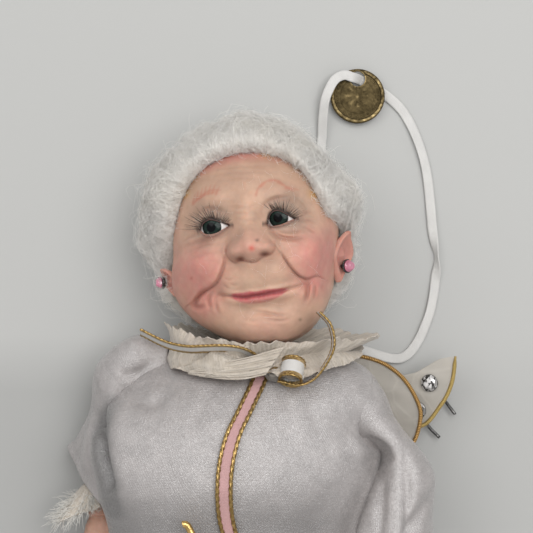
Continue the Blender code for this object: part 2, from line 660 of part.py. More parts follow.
def make_arms():
    """Two sleeves over wire arms, with clay hands, lace cuffs and the wand in one of them."""
    left = [
        LEFT_SHOULDER + Vector((5.4, 1.0, 0.0)),
        (-42.4, -7.6, 19.0),
        (-48.6, -18.5, 18.0),
        (-51.6, -33.0, 17.0),
    ]
    sleeve("sleeve_left", left, (8.7, 9.6, 9.3, 10.6))
    right = [
        RIGHT_SHOULDER + Vector((-5.4, 1.0, 0.0)),
        (38.6, -17.0, 28.0),
        (43.4, -28.0, 29.0),
        (46.0, -42.0, 30.0),
        (47.0, -58.0, 31.0),
        (48.0, -72.0, 32.0),
    ]
    sleeve("sleeve_right", right, (8.7, 9.6, 10.0, 11.2, 13.4), rows=9)
    forearm_left = [(-47.5, -24.0, 17.5), (-49.0, -36.0, 17.0), (-49.5, -48.0, 18.0)]
    hand(
        "hand_left",
        forearm_left,
        (1, -0.1, 0.2),
        [(-1.0, -5.0, 1.0), (-2.0, -9.5, 3.5)],
        [(3.0, 1.0, 1.5), (6.0, -2.0, 4.0), (6.5, -6.0, 5.5)],
    )
    wand_route = [(-12.0, -58.0, 55.2), (2.0, -80.0, 55.6), (15.0, -101.0, 56.0), (24.0, -116.0, 56.0)]
    turns = np.radians((110.0, 90.0, 70.0, 50.0, 28.4))
    crook = [np.array(WAND_CROOK) + WAND_BEND * np.array((np.cos(a), np.sin(a), 0.0)) for a in turns]
    wand = np.vstack([crook[:-1], smooth_path([crook[-1], *wand_route], 23)])
    add("wand", tube_curve("wand", wand, WAND_RADIUS, resolution=1), "gold")
    forearm_right = [(45.5, -56.0, 30.5), (43.0, -72.0, 36.0), (33.0, -86.0, 49.0), (25.0, -91.5, 55.0)]
    hand(
        "hand_right",
        forearm_right,
        (-0.62, 0.9, 0.3),
        [(-4.5, -3.5, 3.2), (-7.0, -5.0, -0.5)],
        [(0.0, -3.0, 1.0), (-4.0, -5.0, 2.5), (-7.0, -4.5, 3.5)],
        tube_mesh("hand_right_grip", wand[18:], WAND_RADIUS + GAP, resolution=1),
    )
    cuff("cuff_left", (-49.2, -39.0, 17.2), (-0.06, -1, 0.08), FOREARM_RADIUS + COLLAR_SHEET + GAP)
    cuff("cuff_right", (40.3, -76.4, 39.6), (-0.6, -0.75, 0.75), FOREARM_RADIUS + COLLAR_SHEET + GAP)
    for word, shoulder, route in (
        ("left", LEFT_SHOULDER, [(-41.5, -10.0, 19.0), (-47.5, -24.0, 17.5)]),
        ("right", RIGHT_SHOULDER, [(38.5, -21.0, 28.2), (44.5, -42.0, 30.0), (45.5, -56.0, 30.5)]),
    ):
        away = (Vector(route[0]) - shoulder).normalized()
        ahead = (Vector(route[-1]) - Vector(route[-2])).normalized()
        points = [shoulder + away * (BALL_RADIUS + GAP), *route[:-1], Vector(route[-1]) - ahead * (2 * GAP)]
        wire = tube_curve(f"arm_wire_{word}", smooth_path(points, 8), ARM_WIRE, resolution=1)
        add(f"arm_wire_{word}", wire, "wire")


def make_legs(hips):
    """Stuffed legs under the skirt, with pointed slippers turned up."""
    for side, word, hip in ((-1, "left", hips[0]), (1, "right", hips[1])):
        ankle = Vector((side * (HIP_SPREAD / 2 + 2.0), hip.y - LEG_LENGTH, ANKLE_RADIUS + 3.0))
        away = (ankle - hip).normalized()
        start_point = hip + away * (BALL_RADIUS + GAP)
        route = smooth_path([start_point, hip.lerp(ankle, 0.35), hip.lerp(ankle, 0.7), ankle], 10)
        shares = [0.45, 0.9, 1.0, 0.96, 0.9, 0.84, 0.82, 0.78, 0.68, ANKLE_RADIUS / LEG_RADIUS]
        add(f"leg_{word}", tube_curve(f"leg_{word}", route, LEG_RADIUS, shares), "stuffing")
        heel = ankle + away * (GAP + 5.2)
        shoe = [
            heel + Vector((0, 1.2, -6.0)),
            heel + Vector((0, 0.6, -4.0)),
            heel,
            heel + Vector((side * 0.5, -0.8, 0.3 * SHOE_LENGTH)),
            heel + Vector((side * 1.2, 0.3, 0.6 * SHOE_LENGTH)),
            heel + Vector((side * 1.8, 3.5, 0.85 * SHOE_LENGTH)),
        ]
        path = smooth_path(shoe, 10)
        widths = [0.45, 0.88, 1.0, 1.0, 0.98, 1.02, 0.97, 0.8, 0.5, 0.2]
        add(f"shoe_{word}", tube_curve(f"shoe_{word}", path, 4.9, widths), "satin")


def strip(name, edges_a, edges_b, finish):
    """A flat ribbon between two edge lines, with a thickness square to both."""
    a, b = np.asarray(edges_a, float), np.asarray(edges_b, float)
    ahead = np.gradient((a + b) / 2, axis=0)
    up = np.cross(b - a, ahead)
    up = up / np.linalg.norm(up, axis=1)[:, None] * RIBBON
    rings = [[a[i], b[i], b[i] + up[i], a[i] + up[i]] for i in range(len(a))]
    return add(name, loft_mesh(name, rings), finish)


def standing_strip(name, route, count, tilt, finish=None):
    """A ribbon standing on edge along a route."""
    path = smooth_path(route, count)
    half = np.array(tilt) / np.linalg.norm(tilt) * TRIM_WIDTH / 2
    return strip(name, path + half, path - half, finish)


def collar_line(turn, wide, front, back, height):
    """A point on an oval round the neck, at a height up the neck."""
    z = math.cos(turn) * (front if math.cos(turn) > 0 else back)
    return np.array((wide * math.sin(turn), height, NECK_HEIGHT + z))


def make_collar():
    """The lace collar: a ruffled sheet tied round its middle, fanning up and down, pinched at the front."""
    rings = []
    turns = np.linspace(math.radians(12), math.radians(348), 49)
    for turn in turns:
        ahead = (1 + math.cos(turn)) / 2
        open_out = math.sin((turn - turns[0]) / (turns[-1] - turns[0]) * math.pi) ** 0.4
        wave = math.sin(RUFFLES * turn) * open_out
        tie = collar_line(turn, 15.5, 17.0, 13.0, 1.9)
        rise = 13.0 - 7.6 * ahead**3 - 3.6 * (1 - ahead) ** 2 + wave
        up = collar_line(turn, COLLAR_REACH, 23.0, 15.0, rise)
        low = collar_line(turn, 0.9 * COLLAR_REACH, 25.0, 16.0, 3.6 - 7.6 * ahead + 0.6 * wave)
        up = tie + (up - tie) * open_out
        low = tie + (low - tie) * open_out + np.array((0.0, -0.8, 0.0))
        out = np.array((math.sin(turn), 0.0, math.cos(turn))) * COLLAR_SHEET
        lift = np.array((0.0, COLLAR_SHEET, 0.0))
        upper = [up, up + lift, tie + (up - tie) * 0.5 + lift, tie - out + lift]
        lower = [tie - out - lift, tie + (low - tie) * 0.5 - lift, low - lift]
        rings.append([low, tie + out, *upper, *lower])
    add("lace_collar", loft_mesh("lace_collar", rings), "lace")


def make_bow():
    """The neck bow: a knot, one rolled loop, two stiff tails on edge, and the pink ribbon down the front."""
    knot = Vector((1.6, -2.4, KNOT_HEIGHT))
    bow = add("neck_bow", ball_mesh("neck_bow", knot, (4.8, 2.4, 2.6), 14, 8), "white_ribbon")
    turn = Vector((0.68, 0.68, 0.28)).normalized()
    middle = knot + Vector((7.0, 0.6, 1.7))
    reach = turn * TRIM_WIDTH / 2
    roll = add("loop_form", rod_mesh("loop_form", middle - reach, middle + reach, LOOP_RADIUS, around=20))
    hollow = LOOP_RADIUS - 2 * RIBBON
    bore = rod_mesh("loop_bore", middle - 2 * reach, middle + 2 * reach, hollow, around=20)
    cut(roll, add("loop_bore", bore))
    join(bow, roll)
    left = [(0.0, 0.2, 1.0), (-7.5, 5.0, 2.5), (-17.0, 8.4, 2.5), (-27.0, 9.6, 1.5), (-35.5, 12.0, 0.5)]
    right = [(2.0, -0.6, 1.5), (8.0, -4.6, 2.5), (14.0, -2.8, 3.5), (18.4, 3.2, 4.5), (20.2, 10.0, 5.5)]
    right.append((16.8, 17.0, 6.0))
    for word, route, tilt in (("left", left, (0.0, 0.35, 1.0)), ("right", right, (0.25, 0.1, 1.0))):
        route = [knot + Vector(step) for step in route]
        join(bow, standing_strip(f"tail_form_{word}", route, 14, tilt))
    route = [(0.2, 5.6), (-3.4, 12.0), (-7.2, 20.0), (-9.2, 30.0), (-9.0, 42.0), (-6.0, 56.0), (-3.5, 80.0)]
    line = smooth_path([*route, (-2.0, 120.0), (-2.0, GOWN_LENGTH - 1.0)], 30)
    a, b = [], []
    for x, along in line:
        a.append((x - FRONT_WIDTH / 2, -along, gown_front(x - FRONT_WIDTH / 2, along) + 2 * GAP))
        b.append((x + FRONT_WIDTH / 2, -along, gown_front(x + FRONT_WIDTH / 2, along) + 2 * GAP))
    strip("front_ribbon", b, a, "pink_ribbon")


def wing_place(x, y, side):
    """A place on a wing's plan, drawn in towards its root by the share of that side."""
    share = WING_SHARE[side]
    return WING_ROOT + (x - WING_ROOT) * share, WING_MIDDLE + (y - WING_MIDDLE) * share


def wing_edges(kind, side):
    """Upper and lower edge lines of one wing from root to tip, cupped up away from the root."""
    upper, lower = WING_EDGES[kind]
    base, cup = WING_CUP[kind, side]
    lines = []
    for line in (upper, lower):
        flat = smooth_path([(*wing_place(x, y, side), 0.0) for x, y in line], 22)
        flat[:, 2] = base + cup * (flat[:, 0] - WING_ROOT) ** 2
        flat[:, 0] *= side
        lines.append(flat)
    return lines


def make_wings():
    """Two pairs of translucent leaves with gold cord on their edges and stones set through the rear ones."""
    for side, word in ((-1, "left"), (1, "right")):
        for kind in ("front", "rear"):
            upper, lower = wing_edges(kind, side)
            rings = []
            thick = np.array((0.0, 0.0, MEMBRANE))
            for a, b in zip(upper[2:-2:2], lower[2:-2:2]):
                inset = min((RIM_RADIUS + 4 * GAP) / np.linalg.norm(b - a), 0.4)
                loop = [a + (b - a) * t for t in np.linspace(inset, 1 - inset, 4)]
                rings.append([*loop, *[p + thick for p in reversed(loop)]])
            name = f"wing_{kind}_{word}"
            add(name, loft_mesh(name, rings), "membrane")
            edge = lower if kind == "rear" else np.vstack([upper, lower[::-1][1:]])
            path = smooth_path(edge + thick / 2, 16 if kind == "rear" else 30)
            name = f"rim_{kind}_{word}"
            add(name, tube_curve(name, path, RIM_RADIUS, resolution=1), "gold_cord")
        base, cup = WING_CUP["rear", side]
        for i, place in enumerate(STONES[side]):
            x, y = wing_place(*place, side)
            foot = Vector((side * x, y, base + cup * (x - WING_ROOT) ** 2))
            up = Vector((0, 0, 1))
            name = f"stone_{i}_{word}"
            hole = rod_mesh(f"{name}_hole", foot - up * 3, foot + up * 3, STONE_POST + 2 * GAP, around=10)
            cut(bpy.data.objects[f"wing_rear_{word}"], add(f"{name}_hole", hole))
            rise = STONE_DIAMETER / 2 * 2 * cup * (x - WING_ROOT)
            seat = foot + up * (MEMBRANE + GAP + rise)
            stone = rod_mesh(name, seat, seat + up * STONE_DEPTH, STONE_DIAMETER / 2, STONE_DIAMETER / 4, 8)
            stone = add(name, stone, "rhinestone")
            tail = foot - up * STONE_POST_TAIL[side]
            post = rod_mesh(f"{name}_post", tail, seat + up * 0.6, STONE_POST, around=8)
            join(stone, add(f"{name}_post", post))


def make_hanger():
    """The hanging ribbon, sewn to the back at both ends and threaded through the tag, and the tag."""
    hole = Vector((31.4, 87.7, 0.0))
    disc_low = 1.5
    disc_top = disc_low + TAG_DEPTH
    above = disc_top + 2 * GAP + 0.2
    rising = [(-2.6, -0.8, 7.2), (2.0, 4.0, 4.0), (10.0, 12.0, 1.0), (20.0, 26.0, 0.5), (23.0, 42.0, 0.5)]
    rising += [(20.0, 62.0, 0.5), (20.2, 70.0, 0.9), (20.4, 76.0, 2.6), (21.2, 81.5, 4.2), (23.8, 86.8, 4.6)]
    threaded = [
        (hole.x - 4.5, hole.y + 0.9, above + 0.7),
        (hole.x - 1.7, hole.y + 0.3, above),
        (hole.x, hole.y, disc_low + TAG_DEPTH / 2),
        (hole.x + 1.7, hole.y - 0.6, 0.6),
        (hole.x + 6.0, hole.y - 2.8, 0.4),
    ]
    falling = [(46.7, 76.5, 0.4), (53.1, 60.5, 0.4), (55.4, 39.7, 0.5), (56.6, 26.9, 0.4), (53.8, 10.9, 0.4)]
    falling += [(46.0, -1.0, 0.4), (32.0, 1.5, 0.4), (16.0, 4.2, 0.6), (8.0, 2.0, 3.6), (3.0, -1.0, 7.2)]
    path = smooth_path(rising + threaded + falling, 72)
    ahead = np.gradient(path, axis=0)
    level = np.stack([-ahead[:, 1], ahead[:, 0], np.zeros(len(path))], axis=1)
    level = level / np.linalg.norm(level, axis=1)[:, None] * HANGER_WIDTH / 2
    strip("hanging_ribbon", path + level, path - level, "white_ribbon")
    middle = hole - Vector((0, TAG_HOLE_OFFSET, 0))
    up = Vector((0, 0, 1))
    radius = TAG_DIAMETER / 2
    disc = rod_mesh("brass_tag", middle + up * disc_low, middle + up * disc_top, radius, around=36)
    tag = add("brass_tag", disc, "brass")
    floor = middle + up * (disc_top - 0.25)
    face = rod_mesh("tag_face", floor, floor + up * 2, radius - TAG_RIM, around=36)
    cut(tag, add("tag_face", face))
    eye = rod_mesh("tag_eye", hole + up * (disc_low - 1), hole + up * (disc_top + 1), TAG_HOLE, around=24)
    cut(tag, add("tag_eye", eye))


make_head()
body = make_gown()
hip_points = make_frame(body)
make_arms()
make_legs(hip_points)
make_collar()
make_bow()
make_wings()
make_hanger()
for made in bpy.data.objects:
    made.matrix_world = Matrix.Translation((0, BACK_REST * MM, 0)) @ made.matrix_basis
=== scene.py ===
"""The dressed look of a hanging fairy doll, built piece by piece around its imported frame.

Sizes are in millimetres from the doll's shoulder line, and world() turns them into the frame's metres.
The head's pieces are worked out in the head's own axes: x to the viewer's right, y up the face, z out of it.
"""

import math

import bmesh
import bpy
import numpy as np
from bpy.props import FloatProperty, FloatVectorProperty, IntProperty, PointerProperty
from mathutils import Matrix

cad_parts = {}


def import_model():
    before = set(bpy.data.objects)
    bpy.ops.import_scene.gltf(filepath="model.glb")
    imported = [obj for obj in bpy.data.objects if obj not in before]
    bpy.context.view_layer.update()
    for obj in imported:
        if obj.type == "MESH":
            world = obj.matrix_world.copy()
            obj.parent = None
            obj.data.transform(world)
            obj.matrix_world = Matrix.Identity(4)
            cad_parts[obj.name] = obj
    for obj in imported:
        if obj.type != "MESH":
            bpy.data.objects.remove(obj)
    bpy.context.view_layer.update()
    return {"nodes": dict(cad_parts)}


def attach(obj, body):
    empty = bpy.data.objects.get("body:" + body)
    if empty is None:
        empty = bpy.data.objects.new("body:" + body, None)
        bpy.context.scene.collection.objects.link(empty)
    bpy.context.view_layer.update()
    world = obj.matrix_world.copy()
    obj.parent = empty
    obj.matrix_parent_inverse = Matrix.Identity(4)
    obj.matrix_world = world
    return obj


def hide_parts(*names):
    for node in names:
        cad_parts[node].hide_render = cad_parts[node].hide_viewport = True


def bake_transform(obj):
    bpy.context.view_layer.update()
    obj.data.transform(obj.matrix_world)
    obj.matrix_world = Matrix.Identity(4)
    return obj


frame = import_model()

bl_info = {
    "name": "Hanging fairy doll",
    "version": (1, 0, 0),
    "blender": (4, 5, 0),
    "location": "View3D > Sidebar > Fairy doll",
    "description": "Builds the dressed look of a hanging fairy doll around its packed frame",
    "category": "Add Mesh",
}

MM = 0.001
BACK_REST = 62.0
TAU = 2 * math.pi
UP = np.array((0.0, 0.0, 1.0))
SIDES = (("left", -1), ("right", 1))
HANGER_THICK, RIBBON_THICK, LACE_THICK, FILM_THICK = 0.25, 0.35, 0.3, 0.35


# Shapes

def world(points):
    """Millimetres from the shoulder line to the frame's metres: a shift along Y, then a scale."""
    return (np.asarray(points, float) + (0.0, BACK_REST, 0.0)) * MM


def turn_about(axis, degrees):
    """A turn about the y or z axis, as a 3 by 3 array."""
    c, s = math.cos(math.radians(degrees)), math.sin(math.radians(degrees))
    if axis == "z":
        return np.array(((c, -s, 0), (s, c, 0), (0, 0, 1)))
    return np.array(((c, 0, s), (0, 1, 0), (-s, 0, c)))


HEAD_CENTRE = np.array((0.0, 36.0, 30.0))
HEAD_TURN = turn_about("z", 8.0) @ turn_about("y", -5.0)


def from_head(points):
    """The head's own axes to the doll's: a turn, then a shift to the head's centre."""
    return np.asarray(points, float) @ HEAD_TURN.T + HEAD_CENTRE


def unit(vectors):
    """Vectors scaled to length one along the last axis."""
    return vectors / np.maximum(np.linalg.norm(vectors, axis=-1, keepdims=True), 1e-9)


def xyz(*parts):
    """Coordinates, spread to one shape, side by side on a last axis."""
    return np.stack(np.broadcast_arrays(*parts), axis=-1)


def circle(count):
    """Evenly spaced angles once round."""
    return np.linspace(0, TAU, count, endpoint=False)


def wheel(angle, side, lift):
    """Directions at angles turned from one direction towards another."""
    return np.cos(angle) * side + np.sin(angle) * lift


def shares(count):
    """Evenly spaced shares from 0 to 1."""
    return np.linspace(0, 1, count)


def bell(value, width):
    """A bell curve: 1 at zero, and e to the power of minus the square of the value over the width."""
    return np.exp(-((value / width) ** 2))


def arch(share, power=1.0):
    """A half sine wave over shares from 0 to 1, raised to a power."""
    return np.sin(share * math.pi) ** power


def read_row(share, values):
    """Evenly spaced values, read at shares of their length."""
    return np.interp(share, shares(len(values)), values)


def ease(value, low, high):
    """A smooth step from 0 at low to 1 at high."""
    t = np.clip((value - low) / (high - low), 0, 1)
    return t * t * (3 - 2 * t)


def smooth_path(points, count):
    """Evenly spaced points on the Catmull-Rom curve through the given ones."""
    pts = np.array(points, float)
    pts = np.vstack([2 * pts[:1] - pts[1:2], pts, 2 * pts[-1:] - pts[-2:-1]])
    t = np.linspace(0, 1, 24, endpoint=False)[None, :, None]
    a, b, c, d = (pts[i : len(pts) - 3 + i, None] for i in range(4))
    square, cube = 2 * a - 5 * b + 4 * c - d, 3 * b - a - 3 * c + d
    fine = 0.5 * (2 * b + (c - a) * t + square * t**2 + cube * t**3)
    fine = np.vstack([fine.reshape(-1, pts.shape[1]), pts[-2:-1]])
    along = np.concatenate([[0], np.cumsum(np.linalg.norm(np.diff(fine, axis=0), axis=1))])
    at = np.linspace(0, along[-1], count)
    return np.stack([np.interp(at, along, fine[:, k]) for k in range(fine.shape[1])], axis=1)


def stations(x, xs, ys):
    """A smooth curve through the stations xs, ys (cubic Hermite), read at every x."""
    xs, ys = np.asarray(xs, float), np.asarray(ys, float)
    slopes = np.gradient(ys, xs)
    i = np.clip(np.searchsorted(xs, x) - 1, 0, len(xs) - 2)
    h = xs[i + 1] - xs[i]
    t = (x - xs[i]) / h
    low = (2 * t**3 - 3 * t**2 + 1) * ys[i] + (t**3 - 2 * t**2 + t) * h * slopes[i]
    return low + (3 * t**2 - 2 * t**3) * ys[i + 1] + (t**3 - t**2) * h * slopes[i + 1]


def path_axes(path, reference=(0, 0, 1)):
    """Ahead, side and lift at each point of a path: side is square to a reference direction."""
    ahead = unit(np.gradient(path, axis=0))
    side = unit(np.cross(ahead, np.asarray(reference, float)))
    return ahead, side, np.cross(side, ahead)


def tube(path, radius, around=16, reference=(0, 0, 1)):
    """A round profile carried along a path: centre + radius (cos a side + sin a lift).

    The radius is one number, one for each point, or one for each point and angle.
    """
    path = np.asarray(path, float)
    _, side, lift = path_axes(path, reference)
    angle = circle(around)[None, :, None]
    radius = np.asarray(radius, float)
    radius = radius.reshape(-1, 1) if radius.ndim < 2 else radius
    spokes = wheel(angle, side[:, None], lift[:, None])
    return path[:, None] + radius[..., None] * spokes


def grid_normals(points):
    """Outward directions of a grid whose columns run round it."""
    across = np.roll(points, -1, axis=1) - np.roll(points, 1, axis=1)
    out = unit(np.cross(across, np.gradient(points, axis=0)))
    sense = np.sign((out * (points - points.mean(axis=1, keepdims=True))).sum(axis=(1, 2)).sum())
    return out * sense


def shade(mesh, smooth=True):
    """Shade every face of a mesh smooth, or flat."""
    mesh.polygons.foreach_set("use_smooth", np.full(len(mesh.polygons), smooth))


def places(obj):
    """Points of a mesh object, in metres."""
    out = np.empty(len(obj.data.vertices) * 3, np.float32)
    obj.data.vertices.foreach_get("co", out)
    return out.reshape(-1, 3)


def put_mesh(name, points, faces, corner_uv):
    """A mesh object from points in millimetres, face index arrays (quads, triangles) and the corners' UVs."""
    mesh = bpy.data.meshes.new(name)
    sizes = np.concatenate([np.full(len(f), f.shape[1]) for f in faces])
    corners = np.concatenate([f.ravel() for f in faces])
    mesh.vertices.add(len(points))
    mesh.vertices.foreach_set("co", world(points).astype(np.float32).ravel())
    mesh.loops.add(len(corners))
    mesh.loops.foreach_set("vertex_index", corners.astype(np.int32))
    mesh.polygons.add(len(sizes))
    starts = np.concatenate([[0], np.cumsum(sizes)[:-1]])
    mesh.polygons.foreach_set("loop_start", starts.astype(np.int32))
    mesh.update(calc_edges=True)
    layer = mesh.uv_layers.new(name="UVMap")
    layer.uv.foreach_set("vector", corner_uv.astype(np.float32).ravel())
    shade(mesh)
    obj = bpy.data.objects.new(name, mesh)
    bpy.context.scene.collection.objects.link(obj)
    return obj


def face_outward(obj):
    """Turn every face of a mesh the same way, outward where it is closed."""
    bm = bmesh.new()
    bm.from_mesh(obj.data)
    bmesh.ops.recalc_face_normals(bm, faces=bm.faces)
    bm.to_mesh(obj.data)
    bm.free()
    return obj


def grid_faces(rows, columns, wrap_rows, wrap_columns):
    """Quads of a grid and their corner UVs: column share across, row share along."""
    i = np.arange(rows if wrap_rows else rows - 1)[:, None, None]
    j = np.arange(columns if wrap_columns else columns - 1)[None, :, None]
    di, dj = np.array((0, 1, 1, 0)), np.array((0, 0, 1, 1))
    quads = ((i + di) % rows) * columns + (j + dj) % columns
    across = (j + dj) / (columns if wrap_columns else columns - 1)
    along = (i + di) / (rows if wrap_rows else rows - 1)
    uv = np.stack(np.broadcast_arrays(across, along), axis=-1)
    return quads.reshape(-1, 4), uv.reshape(-1, 2)


def surface(name, points, wrap=(False, False), capped=False):
    """A grid surface: neighbours joined by quads, wrapped by rows or columns, its ends closed by fans."""
    rows, columns = points.shape[:2]
    flat = points.reshape(-1, 3)
    quads, uv = grid_faces(rows, columns, *wrap)
    faces = [quads]
    if capped:
        j = np.arange(columns)
        after = (j + 1) % columns
        first, last = len(flat), len(flat) + 1
        flat = np.vstack([flat, points[0].mean(axis=0), points[-1].mean(axis=0)])
        low = np.stack([np.full(columns, first), j, after], axis=1)
        high = np.stack(
            [np.full(columns, last), after + (rows - 1) * columns, j + (rows - 1) * columns], axis=1
        )
        faces.append(np.vstack([low, high]))
        share = j / columns
        fan = np.stack([share + 0.5 / columns, share, share + 1 / columns], axis=1)
        end = np.repeat([0.0, 1.0], columns)[:, None] * np.ones(3)
        fan = np.stack([np.vstack([fan, fan[:, [0, 2, 1]]]), end], axis=-1)
        uv = np.vstack([uv, fan.reshape(-1, 2)])
    return face_outward(put_mesh(name, flat, faces, uv))


def closed(name, points):
    """A grid surface whose columns wrap round and whose ends are closed."""
    return surface(name, points, (False, True), True)


def strand_mesh(name, paths, radius, seed=0, place=None):
    """Fine three-sided fibres along paths[n, k], closed at the root and drawn to a point at the tip."""
    count, steps = paths.shape[:2]
    draw = np.random.default_rng(seed)
    chord = unit(paths[:, -1] - paths[:, 0])
    reference = unit(np.cross(chord, draw.normal(size=(count, 3))))[:, None]
    ahead = unit(np.gradient(paths, axis=1))
    side = unit(np.cross(ahead, reference))
    lift = np.cross(side, ahead)
    radius = np.broadcast_to(np.asarray(radius, float), (count, steps))
    angle = np.arange(3) * TAU / 3
    spokes = wheel(angle[:, None], side[:, :, None], lift[:, :, None])
    rings = paths[:, :, None] + radius[:, :, None, None] * spokes
    rings = rings[:, :-1]
    each = (steps - 1) * 3 + 1
    points = np.concatenate([rings.reshape(count, -1, 3), paths[:, -1:]], axis=1).reshape(-1, 3)
    if place is not None:
        points = place(points)
    base = np.arange(count)[:, None, None] * each
    i, j = np.arange(steps - 2)[:, None], np.arange(3)[None, :]
    after = (j + 1) % 3
    quad = np.stack(
        [i * 3 + j, (i + 1) * 3 + j, (i + 1) * 3 + after, i * 3 + after], axis=-1
    ).reshape(1, -1, 4)
    j = np.arange(3)
    top = (steps - 2) * 3
    tip = np.stack([top + j, np.full(3, each - 1), top + (j + 1) % 3], axis=-1)[None]
    root = np.array([[[0, 1, 2]]])
    quads = (base + quad).reshape(-1, 4)
    triangles = np.concatenate([(base + tip).reshape(-1, 3), (base + root).reshape(-1, 3)])
    strand = np.repeat((np.arange(count) + 0.5) / count, each)
    level = np.tile(np.append(np.repeat(np.arange(steps - 1), 3), steps - 1) / (steps - 1), count)
    wide = np.tile(np.append(np.tile((-0.3, 0.0, 0.3), steps - 1), 0.0), count) / count
    at = np.stack([strand + wide, level], axis=1)
    corners = np.concatenate([quads.ravel(), triangles.ravel()])
    return put_mesh(name, points, [quads, triangles], at[corners])


def merge(name, objects):
    """Several meshes joined as one object, with their UV maps and attributes kept."""
    bpy.ops.object.select_all(action="DESELECT")
    for obj in objects:
        obj.select_set(True)
    bpy.context.view_layer.objects.active = objects[0]
    bpy.ops.object.join()
    objects[0].name = objects[0].data.name = name
    return objects[0]


def thicken(obj, millimetres, offset=0.0):
    """Give a sheet its thickness."""
    wall = obj.modifiers.new("thickness", "SOLIDIFY")
    wall.thickness = millimetres * MM
    wall.offset = offset
    wall.use_even_offset = False
    return obj


def mark(obj, name, values):
    """Store one number, or one colour, for each point of a mesh."""
    values = np.asarray(values, np.float32)
    if values.ndim == 1:
        obj.data.attributes.new(name, "FLOAT", "POINT").data.foreach_set("value", values)
    else:
        values = np.hstack([values, np.ones((len(values), 1), np.float32)])
        obj.data.attributes.new(name, "FLOAT_COLOR", "POINT").data.foreach_set("color", values.ravel())


def plain_paint(obj, tint):
    """Store one colour of paint on every point of a piece."""
    mark(obj, "paint", np.tile(tint, (len(obj.data.vertices), 1)))


def dress(obj, finish, body, slot, *nodes):
    """Give a piece its finish, the body it moves with and the solids it stands for; its record slot is not
    used.
    """
    obj.data.materials.clear()
    obj.data.materials.append(finish)
    if body is not None:
        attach(obj, body)
    if nodes:
        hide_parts(*nodes)


def to_line(points, line):
    """Distance from each 2-D point to a line of points, the side it lies on, and its share along the line."""
    a, b = line[:-1], line[1:]
    run = b - a
    away = points[:, None] - a[None]
    t = np.clip((away * run).sum(-1) / np.maximum((run * run).sum(-1), 1e-12), 0, 1)
    gap = away - t[..., None] * run
    far = np.linalg.norm(gap, axis=-1)
    k = far.argmin(axis=1)
    n = np.arange(len(points))
    side = run[k, 0] * away[n, k, 1] - run[k, 1] * away[n, k, 0]
    return far[n, k], np.sign(side), (k + t[n, k]) / len(a)


def ripple(x, y, seed=0.0):
    """A cheap smooth noise from -1 to 1: three crossed sine waves bent by one another."""
    a = np.sin(1.3 * x + 0.7 * y + seed + 1.1 * np.sin(0.6 * y - seed))
    b = np.sin(0.9 * y - 1.6 * x + 2.3 * seed + 0.8 * np.sin(0.5 * x + seed))
    c = np.sin(2.9 * x + 2.1 * y + 3.1 * seed + 0.9 * np.sin(1.7 * y))
    return (a + b + 0.6 * c) / 2.6


# Finishes

class Web:
    """Short calls that each add one node to a tree and hand back its output."""

    def __init__(self, tree):
        self.tree = tree

    def feed(self, socket, value):
        if isinstance(value, bpy.types.NodeSocket):
            self.tree.links.new(value, socket)
        elif value is not None:
            socket.default_value = value

    def add(self, kind, feeds=(), **settings):
        node = self.tree.nodes.new("ShaderNode" + kind)
        for key, value in settings.items():
            setattr(node, key, value)
        for key, value in dict(feeds).items():
            self.feed(node.inputs[key], value)
        return node

    def place(self, kind="Object"):
        return self.add("TexCoord").outputs[kind]

    def stored(self, name, kind="Fac"):
        return self.add("Attribute", attribute_name=name).outputs[kind]

    def noise(self, scale, detail=3.0, rough=0.5, at=None, bend=0.0):
        feeds = {
            "Scale": scale, "Detail": detail, "Roughness": rough, "Distortion": bend,
            "Vector": at or self.place(),
        }
        return self.add("TexNoise", feeds).outputs["Fac"]

    def cells(self, scale, feature="F1", at=None, output="Distance", jitter=1.0):
        feeds = {"Scale": scale, "Vector": at or self.place(), "Randomness": jitter}
        return self.add("TexVoronoi", feeds, feature=feature).outputs[output]

    def sum(self, operation, a, b=0.0, c=None):
        node = self.add("Math", operation=operation)
        for socket, value in zip(node.inputs, (a, b, c)):
            self.feed(socket, value)
        return node.outputs[0]

    def spread(self, value, low, high, to_low=0.0, to_high=1.0):
        feeds = {1: low, 2: high, 3: to_low, 4: to_high, 0: value}
        return self.add("MapRange", feeds).outputs[0]

    def mix(self, share, a, b, blend="MIX"):
        node = self.add("Mix", data_type="RGBA", blend_type=blend)
        for index, value in ((0, share), (6, a), (7, b)):
            if isinstance(value, (tuple, list)) and len(value) == 3:
                value = (*value, 1.0)
            self.feed(node.inputs[index], value)
        return node.outputs[2]

    def times(self, a, b):
        return self.sum("MULTIPLY", a, b)

    def fade(self, value, low, high, a, b):
        return self.mix(self.spread(value, low, high), a, b)

    def stretch(self, at, scale):
        return self.add("Mapping", {"Vector": at, "Scale": scale}).outputs[0]

    def split(self, at):
        return self.add("SeparateXYZ", {0: at}).outputs

    def shared(self, group, **feeds):
        node = self.tree.nodes.new("ShaderNodeGroup")
        node.node_tree = group
        for key, value in feeds.items():
            self.feed(node.inputs[key.replace("_", " ")], value)
        return node.outputs


